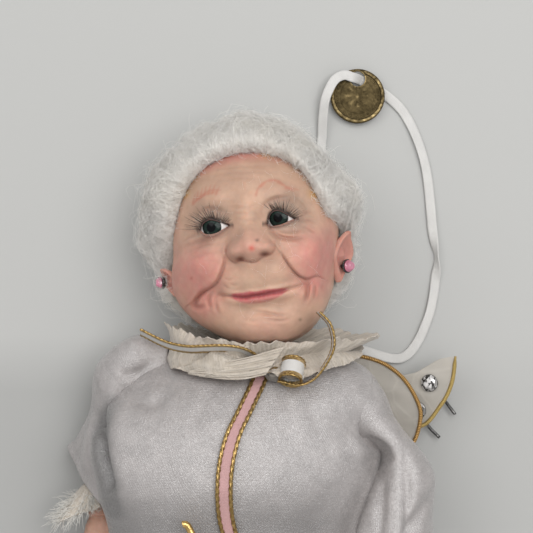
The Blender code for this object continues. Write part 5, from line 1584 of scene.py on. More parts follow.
def gown_sizes(along):
    """Middle, half width, centre height, half height and lean of the gown at its stations."""
    rows = (GOWN_LEFT, GOWN_RIGHT, GOWN_FRONT, GOWN_BACK, GOWN_DRIFT)
    left, right, front, back, drift = (stations(along, GOWN_ALONG, row) for row in rows)
    return (left + right) / 2, (right - left) / 2, (front + back) / 2, (front - back) / 2, drift


def gown_point(along, angle):
    """A place on the gown: a rounded ring at its station, flat where it lies, pleated below."""
    middle, half, centre, tall, drift = gown_sizes(along)
    c, s = np.cos(angle), np.sin(angle)
    fall = np.clip((along - 80) / 105, 0, 1) ** 1.3
    fold = 1 + 0.075 * fall * np.cos(9 * angle + 0.6) * np.clip(s + 0.6, 0, 1)
    x = np.sign(c) * np.abs(c) ** GOWN_ROUND * fold
    z = np.sign(s) * np.abs(s) ** GOWN_ROUND * fold
    height = np.maximum(centre + tall * z, GOWN_LIFT)
    return xyz(middle + half * x - drift * z, -along, height)


def gown_distance(points):
    """How far points stand off the gown: their share of the ring's reach, times that reach."""
    middle, half, centre, tall, drift = gown_sizes(np.clip(-points[..., 1], -1, 185))
    z = (points[..., 2] - centre) / tall
    x = (points[..., 0] - middle + drift * z) / half
    power = 2 / GOWN_ROUND
    share = np.maximum((np.abs(x) ** power + np.abs(z) ** power) ** (1 / power), 0.05)
    return (1 - 1 / share) * np.hypot(x * half, z * tall)


def sleeve_core(word):
    """Middle line of a sleeve and its mean reach along it."""
    rings = np.array(SLEEVE_RINGS[word])
    reach = np.linalg.norm(rings[:, 1:], axis=2).mean(axis=1)
    path = smooth_path(np.column_stack([rings[:, 0], reach]), 40)
    return path[:, :3], path[:, 3]


def fillet(gap, reach):
    """Fullness where two cloths meet: a quarter of the reach, fading with the square of the gap."""
    return reach / 4 * np.clip(1 - np.abs(gap) / reach, 0, 1) ** 2


def join_reach(y, word):
    """How widely the sleeve runs into the gown at each height: wide on the shoulder, a crease below it."""
    wide, low, high = JOINS[word]
    return 1.5 + wide * ease(y, low, high)


def satin_finish(name, tint, scale):
    """Crepe-backed satin: pebbled grain on slanted threads, darker where shade is stored."""
    f = Finish(
        name, Sheen_Weight=0.25, Sheen_Roughness=0.35, Specular_IOR_Level=1.0, IOR=1.72, Anisotropic=0.3
    )
    at = f.place("UV")
    weave = f.shared(group("weave"), Vector=at, Across=scale, Along=scale * 0.82, Slant=0.35)
    grain = f.grain(1050.0)
    tone = f.spread(grain["Tone"], 0.32, 0.68)
    base = f.mix(tone, rgb(tint, 0.90), rgb(tint, 1.12))
    base = f.fade(grain["Height"], 0.35, 0.62, f.tinted(base, (0.74, 0.72, 0.72)), base)
    base = f.mix(f.stored("hollow"), base, rgb(tint, 0.36))
    height = f.sum("MULTIPLY_ADD", weave["Height"], 0.22, grain["Height"])
    rough = f.spread(grain["Height"], 0.3, 0.7, 0.38, 0.20)
    return f.set(Base_Color=base, Roughness=rough, Normal=f.bump(height, 0.26, 0.85))


def pressed(points, lines):
    """How deep lines press a grid in: each line's depth, a bell curve of the distance, fading to its ends."""
    total = np.zeros(points.shape[:2])
    for line, depth, wide in lines:
        far, _, share = to_line(points[..., :2].reshape(-1, 2), smooth_path(line, 20))
        taper = arch(np.clip(share, 0, 1), 0.7)
        total += depth * (taper * bell(far, wide)).reshape(total.shape)
    return total


class DOLL_OT_gown(Piece, bpy.types.Operator):
    """White satin gown with a full bodice, and the two sleeves that grow out of it"""

    bl_idname = "doll.gown"
    bl_label = "Gown and sleeves"

    def make(self, scene):
        cloth = scene.doll_cloth
        self.gown(satin_finish("gown_satin", cloth.satin, 330.0), cloth)
        finish = satin_finish("sleeve_satin", cloth.satin, 110.0)
        for word, flat in SLEEVE_FLATS.items():
            self.sleeve(word, finish, cloth, flat)

    def gown(self, finish, cloth):
        """Rings down the gown, drawn out where they run into the sleeves, with puckers pressed in the front.

        Shade is stored in the hollow by the left sleeve and below the chest.
        """
        along = np.concatenate([np.linspace(-1, 70, 128), np.linspace(70, 185, 93)[1:]])[:, None]
        angle = circle(GOWN_COLUMNS)[None] - math.pi / 2
        points = gown_point(along, angle)
        for side, reach in ((-1, PANEL_LEFT), (1, PANEL_RIGHT)):
            panel = stations(along, PANEL_ALONG, reach) * ease(side * np.cos(angle), 0.25, 0.95)
            points[..., 0] += side * panel * ease(np.sin(angle), -0.5, 0.1)
        normal = grid_normals(points)
        push = np.zeros(points.shape[:2])
        for word in SLEEVE_RINGS:
            path, reach = sleeve_core(word)
            far, _, share = to_line(points.reshape(-1, 3), path)
            gap = (far - read_row(share, reach)).reshape(push.shape)
            push += fillet(gap, join_reach(points[..., 1], word))
        push -= pressed(points, PUCKERS) * ease(points[..., 2], 12.0, 24.0)
        x, y = points[..., 0], points[..., 1]
        push += 0.45 * ripple(0.09 * x + 0.03 * y, 0.055 * y, 2.0) * ease(-y, 6.0, 24.0)
        push += 0.10 * ripple(0.5 * x, 0.42 * y, 5.0) * ease(-y, 2.0, 10.0)
        points = points + normal * (push * ease(points[..., 2], 0.6, 6.0))[..., None]
        gown = thicken(surface("gown_satin", points, (False, True)), cloth.cloth / MM, -1.0)
        lower = 0.72 * ease(-y, 30.0, 48.0) * (1 - 0.75 * ease(-y, 56.0, 92.0))
        lower = (0.03 + lower) * (1 - 0.6 * ease(x, 14.0, 28.0)) * ease(points[..., 2], 20.0, 36.0)
        mark(gown, "hollow", np.clip(pressed(points, HOLLOW) + lower, 0, 1).ravel())
        dress(gown, finish, "torso", "satin", "gown")

    def sleeve(self, word, finish, cloth, flat):
        """Ovals between the sleeve's rings, pleated towards the hem, run into the gown at the shoulder."""
        rings = np.array(SLEEVE_RINGS[word])
        centre, outer, front = np.split(smooth_path(rings.reshape(-1, 9), SLEEVE_STEPS), 3, axis=1)
        share = shares(SLEEVE_STEPS)
        angle = circle(SLEEVE_COLUMNS)[None, :, None]
        fall = (ease(share, 0.35, 1.0) ** 1.2)[:, None, None]
        pleat = 1 + fall * sum(deep * np.cos(count * angle + shift) for deep, count, shift in PLEATS[word])
        points = centre[:, None] + pleat * wheel(angle, outer[:, None], front[:, None])
        normal = grid_normals(points)
        push = fillet(gown_distance(points), join_reach(points[..., 1], word))
        push += 0.12 * ripple(0.5 * points[..., 0], 0.4 * points[..., 1] + 0.3 * points[..., 2], 3.0)
        push -= pressed(points, SLEEVE_FOLDS[word]) * ease(np.sin(angle[..., 0]), -0.1, 0.5)
        points = points + normal * push[..., None]
        sleeve = thicken(surface(f"sleeve_satin_{word}", points, (False, True)), cloth.cloth / MM, -1.0)
        # Painted shade in the hollow by the left sleeve, stored as on the gown
        mark(sleeve, "hollow", np.clip(pressed(points, HOLLOW), 0, 1).ravel())
        dress(sleeve, finish, None, "satin", f"sleeve_{word}")
        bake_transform(sleeve)


# Stuffed body, legs and slippers

def muslin_finish(name, tint):
    """Plain woven cotton: crossed threads in Object space, slubs and faint stains."""
    f = Finish(name, Roughness=0.85, Sheen_Weight=0.25, Specular_IOR_Level=0.2)
    x, y, z = f.split(f.place())
    threads = []
    for value in (x, y, z):
        wave = f.sum("SINE", f.times(value, TAU / 0.00075))
        threads.append(f.spread(wave, -1.0, 1.0))
    height = f.times(f.sum("MAXIMUM", threads[0], threads[2]), threads[1])
    grain = f.grain(240.0)
    base = f.tones(grain["Tone"], 0.3, 0.7, tint, 0.88, 1.04)
    base = f.fade(height, 0.0, 0.5, f.tinted(base, (0.84, 0.82, 0.80)), base)
    return f.set(Base_Color=base, Normal=f.bump(height, 0.12, 0.6))


FILLING = {
    "use_pressure": True, "uniform_pressure_force": 4.0, "tension_stiffness": 40.0,
    "compression_stiffness": 40.0,
}
FILL_FRAMES = 20


def swell(obj, voxel, cap):
    """Fill a closed cloth shape: remesh it, let pressure swell it for some frames, cap each move."""
    scene = bpy.context.scene
    bpy.context.view_layer.objects.active = obj
    even = obj.modifiers.new("even", "REMESH")
    even.mode = "VOXEL"
    even.voxel_size = voxel * MM
    bpy.ops.object.modifier_apply(modifier=even.name)
    before = places(obj)
    sim = obj.modifiers.new("fill", "CLOTH")
    for key, value in FILLING.items():
        setattr(sim.settings, key, value)
    sim.settings.effector_weights.gravity = 0.0
    sim.point_cache.frame_start, sim.point_cache.frame_end = 1, FILL_FRAMES
    for step in range(1, FILL_FRAMES + 1):
        scene.frame_set(step)
    bpy.ops.object.modifier_apply(modifier=sim.name)
    scene.frame_set(1)
    move = places(obj) - before
    far = np.linalg.norm(move, axis=1, keepdims=True)
    move *= np.minimum(1.0, cap * MM / np.maximum(far, 1e-9))
    obj.data.vertices.foreach_set("co", (before + move).ravel())
    shade(obj.data)
    obj.data.update()
    smooth = obj.modifiers.new("smooth", "SUBSURF")
    smooth.levels = smooth.render_levels = 1
    return obj


LEG_ENDS = (np.array((13.0, -108.0, 20.0)), np.array((15.0, -200.0, 7.8)))
# Shares of the leg's and the slipper's full radius along them, and the slipper's route from the heel
LEG_SHARES = (0.42, 0.86, 0.97, 0.94, 0.86, 0.79, 0.79, 0.75, 0.66, 0.58)
LEG_RADIUS, SLIPPER_RADIUS = 7.6, 4.9
SLIPPER_SHARES = (0.45, 0.88, 1.0, 1.0, 0.98, 1.02, 0.97, 0.8, 0.5, 0.2)
SLIPPER_ROUTE = (
    (0, 1.2, -6.0), (0, 0.6, -4.0), (0, 0, 0), (0.5, -0.8, 9.0), (1.2, 0.3, 18.0), (1.8, 3.5, 25.5)
)
# Share of the gown's ring that the stuffing fills, at distances from the shoulder
STUFFED_ALONG = (4, 16, 28, 40, 52, 64, 76, 88, 100)
STUFFED_SHARES = (0.52, 0.8, 0.9, 0.93, 0.93, 0.93, 0.9, 0.8, 0.64)


class DOLL_OT_body(Piece, bpy.types.Operator):
    """Stuffed muslin body and legs, filled by a short cloth simulation, and pointed satin slippers"""

    bl_idname = "doll.body"
    bl_label = "Stuffed body, legs and slippers"

    def make(self, scene):
        cloth = scene.doll_cloth
        muslin = muslin_finish("stuffed_muslin", cloth.muslin)
        along = np.linspace(4.0, 100.0, 60)[:, None]
        angle = circle(72)[None]
        share = stations(along, STUFFED_ALONG, STUFFED_SHARES)
        ring = gown_point(along, angle)
        middle = ring.mean(axis=1, keepdims=True)
        ring = middle + (ring - middle) * share[..., None] * (0.97, 1.0, 0.93)
        ring[..., 2] = np.maximum(ring[..., 2], 4.4)
        torso = swell(closed("stuffed_torso", ring), 4.5, 1.6)
        dress(torso, muslin, "torso", "stuffing", "stuffed_body")
        satin = satin_finish("slipper_satin", cloth.slipper, 60.0)
        for word, side in SIDES:
            self.leg(word, side, muslin)
            self.slipper(word, side, satin)

    def leg(self, word, side, muslin):
        """A stuffed tube from hip to ankle, narrowing at the knee and the foot."""
        hip, ankle = (end * (side, 1, 1) for end in LEG_ENDS)
        path = smooth_path([hip, hip + 0.5 * (ankle - hip) + (0, 0, 0.6), ankle], 46)
        profile = LEG_RADIUS * read_row(shares(46), LEG_SHARES)
        leg = swell(closed(f"stuffed_leg_{word}", tube(path, profile, 32)), 2.6, 0.6)
        dress(leg, muslin, f"leg_{word}", "stuffing", f"leg_{word}")

    def slipper(self, word, side, satin):
        """A pointed slipper: rings along the foot, turned up at the toe, with a seam along the top."""
        hip, ankle = (end * (side, 1, 1) for end in LEG_ENDS)
        heel = ankle + 5.5 * unit(ankle - hip)
        path = smooth_path(heel + np.array(SLIPPER_ROUTE) * (side, 1, 1), 60)
        share = read_row(shares(60), SLIPPER_SHARES)
        angle = circle(48)
        seam = 1 + 0.03 * bell(np.angle(np.exp(1j * (angle - math.pi / 2))), 0.10)
        radius = SLIPPER_RADIUS * share[:, None] * seam
        body = closed(f"slipper_{word}", tube(path, radius, 48, (0, 1, 0)))
        dress(body, satin, f"leg_{word}", "shoe_satin", f"shoe_{word}")


# Collar, bow and front ribbon

# Upper and lower line of the end of the collar that is folded over to the left
COLLAR_FLAP = (
    ((7.5, 5.2, 46.6), (-2.0, 2.6, 48.0), (-11.0, 0.4, 46.6), (-19.6, -2.0, 42.2)),
    ((2.2, -2.6, 48.6), (-5.0, -3.9, 48.6), (-13.0, -3.8, 46.2), (-20.2, -2.9, 41.8)),
)
COLLAR_AXIS = np.array((0.0, 0.0, 24.0))
COLLAR_TURN, COLLAR_COLUMNS = (-4, 364), 490
BOW_KNOT = np.array((1.6, -2.4, 44.3))
FRONT_RIBBON = (
    (0.9, 2.6), (-0.2, 5.6), (-3.4, 12.0), (-7.2, 20.0), (-9.2, 30.0), (-9.0, 42.0), (-6.0, 56.0),
    (-3.5, 80.0), (-2.0, 120.0), (-2.0, 184.0),
)
RIBBON_LIFT = 1.25
# Tails of the bow: route from the knot, direction that their width keeps to
BOW_TAILS = {
    "left": (
        (
            (1, 0.4, -1.8), (-2, 3.8, -0.8), (-6, 6.2, 1.2), (-11, 7.1, 2.4), (-16.5, 7.0, 2.2),
            (-22, 6.9, 1.6), (-28, 8.2, 1), (-35.3, 11.7, 0.5),
        ),
        (0, 0.36, 1),
    ),
    "right": (
        (
            (5, -2.6, 1), (10.2, -3.2, 3), (14.4, -1.2, 3.6), (18.1, 3.8, 4.5), (19.7, 8.6, 5.2),
            (18.6, 14, 5.8), (15.4, 17.6, 6),
        ),
        (0.05, 0.08, 1),
    ),
}


def lace_finish(name, tint, across, along):
    """Open lace on its UV map: a net of threads with holes, denser sprigs and a soft bump."""
    f = Finish(name, Roughness=0.8, Sheen_Weight=0.35, Sheen_Roughness=0.5, Specular_IOR_Level=0.25)
    at = f.place("UV")
    net = f.stretch(at, (across, along, 1.0))
    thread = f.cells(1.0, "DISTANCE_TO_EDGE", net, jitter=0.75)
    sprig = f.spread(f.noise(0.16, 2.0, 0.55, net, 0.8), 0.40, 0.52)
    drawn = f.noise(1.0, 3.0, 0.6, f.stretch(at, (across * 1.6, along * 0.10, 1.0)))
    open_net = f.spread(thread, 0.12, 0.20)
    hole = f.times(open_net, f.spread(sprig, 0.0, 1.0, 0.75, 0.05))
    grain = f.grain(700.0)
    base = f.tones(grain["Tone"], 0.3, 0.7, tint, 0.92, 1.05)
    base = f.fade(drawn, 0.38, 0.62, f.tinted(base, (0.80, 0.78, 0.74)), base)
    height = f.sum("MULTIPLY_ADD", drawn, 0.9, f.spread(thread, 0.0, 0.16, 0.5, 0.0))
    return f.set(
        Base_Color=base,
        Alpha=f.spread(hole, 0.0, 1.0, 1.0, 0.72),
        Normal=f.bump(height, 0.16, 0.7),
    )


def collar_oval(turn, wide, front, back, height):
    """An oval round the neck, whose reach differs in front and behind."""
    deep = np.where(np.cos(turn) > 0, front, back)
    return xyz(wide * np.sin(turn), height + 0 * turn, COLLAR_AXIS[2] + deep * np.cos(turn))


def gown_front(x, along):
    """Height of the gown's front at a place across it."""
    angle = np.linspace(0.15, math.pi - 0.15, 160)[None]
    ring = gown_point(np.asarray(along, float)[:, None], angle)
    return np.array([np.interp(a, row[::-1, 0], row[::-1, 2]) for a, row in zip(x, ring)])


class DOLL_OT_collar(Piece, bpy.types.Operator):
    """Lace collar gathered round the neck, fanning up behind the jaw and down over the chest"""

    bl_idname = "doll.collar"
    bl_label = "Lace collar"

    def make(self, scene):
        trim = scene.doll_trim
        turn = np.linspace(*np.radians(COLLAR_TURN), COLLAR_COLUMNS)
        ahead = (1 + np.cos(turn)) / 2
        off = np.abs(np.angle(np.exp(1j * turn)))
        pinch = bell(off, 0.17)
        wave = np.sin(11 * turn) * (1 - pinch)
        full = ease(np.cos(turn), -0.6, 0.3)
        tie = collar_oval(turn, 15.5 + 12.5 * full, 17.0 + 4.2 * full * (1 - pinch), 13.0, 2.6 - 3.2 * pinch)
        right, left = np.clip(np.sin(turn), 0, 1), np.clip(-np.sin(turn), 0, 1)
        rise = 13.0 - 6.8 * ahead**4 - 3.6 * (1 - ahead) ** 2 + 0.5 * wave - 4.6 * right**2 - 1.2 * left**2
        up = collar_oval(turn, 32.0 + 4.4 * np.sin(turn), 21.5, 15.0, rise)
        drop = 2.8 - (6.6 - 2.4 * pinch) * ahead + 0.5 * wave + 3.4 * right**3
        low = collar_oval(turn, 27.45 + 4.0 * right**2, 25.0 - 4.0 * pinch, 16.0, drop)
        rows = np.concatenate([np.linspace(-1, 0, 36), shares(40)[1:]])[:, None, None]
        outer = np.where(rows > 0, up[None], low[None])
        reach = np.abs(rows)
        points = tie[None] + (outer - tie[None]) * reach**0.85
        pleat = np.sin(46 * turn + 1.2 * np.sin(5 * turn))[None, :, None]
        ruffle = np.sin(11 * turn + 0.8)[None, :, None]
        away = unit(tie * (1, 0, 1) - COLLAR_AXIS)[None]
        lift = np.array((0.0, 1.0, 0.0))
        spread_out = points[..., :2] - BOW_KNOT[:2]
        spoke = np.arctan2(spread_out[..., 1], np.abs(spread_out[..., 0]) + 0.5)[..., None]
        column = turn[None, :, None]
        fan = np.sin(11 * spoke + 1.3 * np.sin(3 * column)) + 0.45 * np.sin(27 * spoke + 2 * column)
        fan = fan * (ahead**1.5 * ease(off, 0.04, 0.35))[None, :, None]
        flap = ease(-0.1 - 1.9 * off[None, :, None] + 1.05 - rows, -0.06, 0.06) * (column > math.pi)
        flap = flap * (ahead**2 * ease(off, 0.03, 0.2))[None, :, None]
        points = points + pleat * (0.26 * reach**0.5) * (lift * np.where(rows > 0, 1, 0.6) + 0.4 * away)
        points = points + ruffle * reach**2 * 0.8 * away - away * 0.9 * bell(reach, 0.35)
        points = points + (0.95 * fan + 1.8 * flap) * (away + 0.3 * lift)
        edge = 0.16 * np.sin(31 * turn + 2 * np.sin(7 * turn)) + 0.10 * np.sin(97 * turn)
        points = points + edge[None, :, None] * ease(reach, 0.8, 1.0) * unit(outer - tie[None])
        points = points - away * 0.7 * ease(turn, math.radians(340), math.radians(358))[None, :, None]
        points[..., 2] = np.maximum(points[..., 2], 1.0)
        collar = thicken(surface("collar_lace", points), LACE_THICK)
        dress(collar, lace_finish("collar_lace", trim.lace, 210.0, 34.0), "torso", "lace", "lace_collar")
        self.flap(trim)

    def flap(self, trim):
        """The end of the lace folded over to the left: a fan between two lines, pleated along its length."""
        upper, lower = (smooth_path(line, 90) for line in COLLAR_FLAP)
        share, run = shares(44)[None], shares(90)[:, None]
        points = upper[:, None] + (lower - upper)[:, None] * share[..., None]
        pleat = np.sin(24 * share + 1.6 * np.sin(4 * run)) + 0.5 * np.sin(51 * share + 3 * run)
        points[..., 2] += 0.42 * pleat * (1 - 0.4 * run) + 0.5 * arch(share)
        flap = thicken(surface("collar_flap_lace", points), LACE_THICK)
        # Painted light: the folded end in a lighter copy of the collar's lace
        dress(flap, lace_finish("flap_lace", rgb(trim.lace, 1.12), 34.0, 60.0), "torso", "lace")


class DOLL_OT_bow(Piece, bpy.types.Operator):
    """Gold-edged white bow on the collar, and the pink ribbon with gold edges down the front"""

    bl_idname = "doll.bow"
    bl_label = "Bow and front ribbon"

    def make(self, scene):
        trim = scene.doll_trim
        width = trim.ribbon_width / MM
        white = ribbon_finish("bow_ribbon", trim.ribbon, 30.0, 150.0, trim.gold, 0.2)
        pink = ribbon_finish("front_ribbon", trim.pink, 30.0, 420.0, trim.gold, 0.16)
        # The knot: the white ribbon painted dark, as painted shade round the knot
        self.knot(ribbon_finish("knot_ribbon", rgb(trim.lace, 0.34), 26.0, 60.0, trim.gold, 0.2))
        edges = self.loop(white, width)
        for word in BOW_TAILS:
            edges += self.tail(word, white, width)
        self.edging("bow_edging", edges, 0.32, trim)
        flat = smooth_path(FRONT_RIBBON, 260)
        path = np.column_stack([flat[:, 0], -flat[:, 1], gown_front(flat[:, 0], flat[:, 1]) + RIBBON_LIFT])
        aside = flat[:, 0] + 1.0
        side = np.column_stack([aside, -flat[:, 1], gown_front(aside, flat[:, 1]) + RIBBON_LIFT]) - path
        grid = ribbon_grid(path, trim.front_width / MM, side, 15, 0.15)
        band = thicken(surface("ribbon_front", grid), RIBBON_THICK)
        inner = grid + 0.55 * unit(grid[:, 7:8] - grid)
        self.edging("ribbon_braid", [inner[:, 0] + (0, 0, 0.2), inner[:, -1] + (0, 0, 0.2)], 0.52, trim)
        dress(band, pink, "torso", "pink_ribbon", "front_ribbon")

    def knot(self, finish):
        """The knot: an egg creased by the wraps of the ribbon round it."""
        rise = np.linspace(-math.pi / 2, math.pi / 2, 42)[1:-1, None]
        turn = circle(64)[None]
        wrap = 1 + 0.07 * np.sin(5 * turn + 3 * rise) + 0.05 * np.sin(3 * turn - 6 * rise)
        ball = xyz(np.sin(rise), np.cos(rise) * np.cos(turn), np.cos(rise) * np.sin(turn))
        knot = closed("bow_knot", BOW_KNOT + (3.4, -0.4, 0.2) + ball * wrap[..., None] * (3.0, 2.1, 2.5))
        dress(knot, finish, "torso", "white_ribbon")

    def loop(self, finish, width):
        """The rolled loop: ribbon wound one and a quarter turns into a tube, with its gold edges as rims."""
        axis, side, lift = square_axes((0.16, 0.80, -0.56))
        centre = BOW_KNOT + (8.2, 0.6, 2.0)
        turn = np.linspace(0, TAU * 1.25, 110)
        radius = (3.3 - 0.6 * ease(turn, TAU * 0.7, TAU * 1.25))[:, None]
        path = centre + radius * wheel(turn[:, None], side, lift)
        share = np.linspace(-1, 1, 15)[None, :, None]
        points = path[:, None] + axis * share * width / 2
        loop = thicken(surface("bow_loop", points), RIBBON_THICK)
        dress(loop, finish, "torso", "white_ribbon", "neck_bow")
        return [points[:, 0], points[:, -1]]

    def tail(self, word, finish, width):
        """A stiff tail set on edge, so that from the front only its gold rim shows."""
        offsets, tilt = BOW_TAILS[word]
        path = BOW_KNOT + smooth_path(offsets, 90)
        ahead = unit(np.gradient(path, axis=0))
        tilt = unit(np.array(tilt, float))
        across = tilt - (ahead @ tilt)[:, None] * ahead
        points = ribbon_grid(path, width, across, 13)
        tail = thicken(surface(f"bow_tail_{word}", points), RIBBON_THICK)
        dress(tail, finish, "torso", "white_ribbon")
        return [points[:, 0], points[:, -1]]

    def edging(self, name, lines, radius, trim):
        """Gold thread bound over the edges of the ribbon: tubes with twisted ridges."""
        tubes = []
        for line in lines:
            run = np.linalg.norm(np.diff(line, axis=0), axis=1).sum()
            path = smooth_path(line, int(max(60, min(900, run * 5))))
            share = np.linspace(0, run, len(path))[:, None]
            angle = circle(12)[None]
            ridge = 1 + 0.24 * np.sin(3 * angle - share * TAU / (4 * radius))
            tubes.append(closed(name, tube(path, radius * ridge, 12, (0.13, 0.21, 0.97))))
        f = Finish(f"{name}_gold", Metallic=0.9, Roughness=0.34)
        grain = f.grain(1400.0)
        colour = f.tones(grain["Height"], 0.32, 0.66, trim.gold, 0.16, 1.0)
        f.set(Base_Color=colour, Normal=f.bump(grain["Height"], 0.08, 0.5))
        dress(merge(name, tubes), f.material, "torso", "gold_cord")


# Wings

# Upper and lower edge of each wing's plan, on the right side
WING_LINES = {
    "front": (
        ((7, -2.6), (20, 0.6), (35, -0.8), (43.6, -5.5), (48.6, -13), (49.6, -19)),
        ((7, -5.6), (20, -8), (32, -13), (41.5, -23), (47, -26.6), (49.6, -19)),
    ),
    "rear": (
        ((7, -2), (25, -4), (40, -6.2), (48, -5.4), (52.2, -3.1), (56.2, -0.7), (60.7, 0.3)),
        ((7, -5.6), (25, -9), (40, -18), (50.2, -21.8), (56.4, -15), (59.6, -8), (60.7, 0.3)),
    ),
}
# Height of each wing at its root, and how fast it cups up
WING_CUPS = {
    ("front", 1): (3.3, 0.0076), ("rear", 1): (1.7, 0.0046), ("front", -1): (4.0, 0.0),
    ("rear", -1): (2.4, 0.0),
}
WING_STONES = {-1: ((53.3, -8.2), (53.0, -15.8)), 1: ((53.3, -8.2), (49.8, -16.8))}
POST_TAILS = {1: 2.4, -1: 0.6}
# Cloth of a full wing laid flat, in metres, and its cut area
WING_FLAT, WING_AREA = (0.055, 0.024), 0.00062
CUP_PROFILE = ((0.6, 0.1), (1.7, 0.25), (2.5, 0.5), (2.7, 0.8), (2.5, 0.95), (1.8, 0.6))
WING_SHARE, WING_ROOT, WING_MIDDLE = {1: 1.0, -1: 0.68}, 7.0, -4.0
PIN_ROUTES = (((59.3, -14.9, 2.6), (62.4, -19.0, 2.4)), ((53.7, -22.5, 2.6), (57.4, -26.4, 2.4)))


def wing_line(line, side, count):
    """A smooth line on a wing's plan, drawn in towards the root on the tucked side."""
    flat = smooth_path(line, count)
    root = np.array((WING_ROOT, WING_MIDDLE))
    return root + (flat - root) * WING_SHARE[side]


def wing_height(kind, side, x):
    """Height of a wing: flat at its root and cupped up by the square of the distance from it."""
    base, cup = WING_CUPS[kind, side]
    return base + cup * (np.abs(x) - WING_ROOT) ** 2


class DOLL_OT_wings(Piece, bpy.types.Operator):
    """Milky film wings edged with twisted gold cord, with two set stones on each rear wing"""

    bl_idname = "doll.wings"
    bl_label = "Wings"

    def make(self, scene):
        trim = scene.doll_trim
        film = self.film(trim)
        cords = {
            "front": self.cord("copper_cord", (0.62, 0.36, 0.12)),
            "rear": self.cord("gold_cord", (0.78, 0.56, 0.19)),
        }
        # Painted reflections: cells of the stone from near black to near white, more metallic where brighter
        stone = Finish("clear_stone", Roughness=0.22, Specular_IOR_Level=0.8)
        cells = stone.cells(1250.0, output="Color")
        tone = stone.split(cells)[0]
        stone.set(
            Base_Color=stone.fade(tone, 0.3, 0.7, (0.03, 0.028, 0.026), (0.93, 0.91, 0.90)),
            Metallic=stone.spread(tone, 0.0, 1.0, 0.1, 0.5),
            Normal=stone.bump(tone, 0.25, 0.8),
        )
        post = metal_finish("post_metal", (0.33, 0.32, 0.31), (0.08, 0.08, 0.08), 0.32)
        for word, side in SIDES:
            for kind in WING_LINES:
                self.leaf(kind, word, side, film)
                self.rim(kind, word, side, cords[kind])
            for index, (x, y) in enumerate(wing_line(WING_STONES[side], side, 2)):
                self.stone(index, word, side, x, y, stone.material, post)

    def film(self, trim):
        """Milky film: veined by cells, cloudier in patches, a little see-through."""
        f = Finish(
            "wing_film", Sheen_Weight=0.1, Specular_IOR_Level=0.5, Coat_Weight=0.25, Coat_Roughness=0.2
        )
        vein = f.cells(95.0, "DISTANCE_TO_EDGE")
        cloud = f.grain(260.0)
        line = f.spread(vein, 0.0, 0.05, 1.0, 0.0)
        base = f.tones(cloud["Tone"], 0.3, 0.7, trim.film, 0.86, 1.02)
        return f.set(
            Base_Color=f.mix(f.times(line, 0.25), base, rgb(trim.film, 1.25)),
            Roughness=f.spread(cloud["Height"], 0.3, 0.7, 0.32, 0.5),
            Alpha=f.spread(cloud["Tone"], 0.3, 0.7, 0.80, 0.93),
            Normal=f.bump(f.sum("ADD", cloud["Height"], line), 0.07, 0.5),
        )

    def cord(self, name, gold):
        """Twisted metal cord: slanted plies on the UV map, with painted shade in the grooves."""
        f = Finish(name, Metallic=0.6)
        twist = f.shared(group("twist"), Vector=f.place("UV"), Across=1.0, Along=210.0)["Height"]
        grain = f.grain(900.0)
        ply = f.tones(twist, 0.1, 0.8, gold, 0.45, 1.1)
        return f.set(
            Base_Color=f.mix(f.spread(grain["Tone"], 0.35, 0.7, 0.0, 0.45), ply, rgb(gold, 0.6)),
            Roughness=f.spread(twist, 0.0, 1.0, 0.5, 0.33),
            Normal=f.bump(twist, 0.14, 0.9),
        )

    def leaf(self, kind, word, side, film):
        """A leaf between its upper and lower lines, cupped, with a shallow swell between veins."""
        upper, lower = (wing_line(line, side, 80) for line in WING_LINES[kind])
        share = shares(28)[None, :, None]
        flat = upper[:, None] + (lower - upper)[:, None] * share
        x, y = flat[..., 0], flat[..., 1]
        swell = arch(share[..., 0]) * arch(shares(80))[:, None]
        z = wing_height(kind, side, x) + 0.18 * swell * np.sin(0.9 * y + 0.25 * x)
        leaf = thicken(surface(f"wing_{kind}_film_{word}", xyz(side * x, y, z)), FILM_THICK)
        dress(leaf, film, f"wings_{word}", "wing_film", f"wing_{kind}_{word}")
        size = WING_SHARE[side]
        flat = tuple(reach * size for reach in WING_FLAT)

    def rim(self, kind, word, side, cord):
        """Gold cord on a wing's edge: all round the front wing, along the lower edge of the rear one."""
        upper, lower = WING_LINES[kind]
        line = [*upper, *lower[-2::-1]] if kind == "front" else lower
        flat = wing_line(line, side, 240)
        x, y = flat.T
        path = xyz(side * x, y, wing_height(kind, side, x) + FILM_THICK)
        radius = 0.62 - 0.3 * ease(shares(240), 0.96, 1.0)
        rim = closed(f"cord_{kind}_{word}", tube(path, radius, 12))
        dress(rim, cord, f"wings_{word}", "gold_cord", f"rim_{kind}_{word}")

    def stone(self, index, word, side, x, y, glass, metal):
        """A cut stone in a dark cup, with the post that pins it and, on the right, runs on as a pin."""
        cup, tail = WING_CUPS["rear", side][1], POST_TAILS[side]
        foot = np.array((side * x, y, wing_height("rear", side, x)))
        axis = unit(np.array((-side * 2 * cup * (x - WING_ROOT), 0.0, 1.0)))
        gem = facet_stone(f"wing_stone_{index}_{word}", foot + 0.4 * axis, axis, 2.6, 1.9)
        dress(gem, glass, f"wings_{word}", "rhinestone", f"stone_{index}_{word}")
        profile = np.array(((0.3, -tail), (0.6, -tail + 0.2), *CUP_PROFILE))
        setting = spun(f"wing_setting_{index}_{word}", foot, axis, profile, 28)
        if side > 0:
            path = smooth_path([foot - 1.6 * axis, *PIN_ROUTES[index]], 40)
            pin = closed("wing_pin", tube(path, 0.52, 14, (0.1, 0.2, 1)))
            setting = merge(f"wing_setting_{index}_{word}", [setting, pin])
        dress(setting, metal, f"wings_{word}", "rhinestone")


# Hands, cuffs and wand

FOREARMS = {
    "left": ((-47.5, -24, 17.5), (-48.4, -36, 17), (-48.4, -48, 18)),
    "right": ((45.5, -56, 30.5), (43, -72, 36), (33, -86, 49), (25, -91.5, 55)),
}
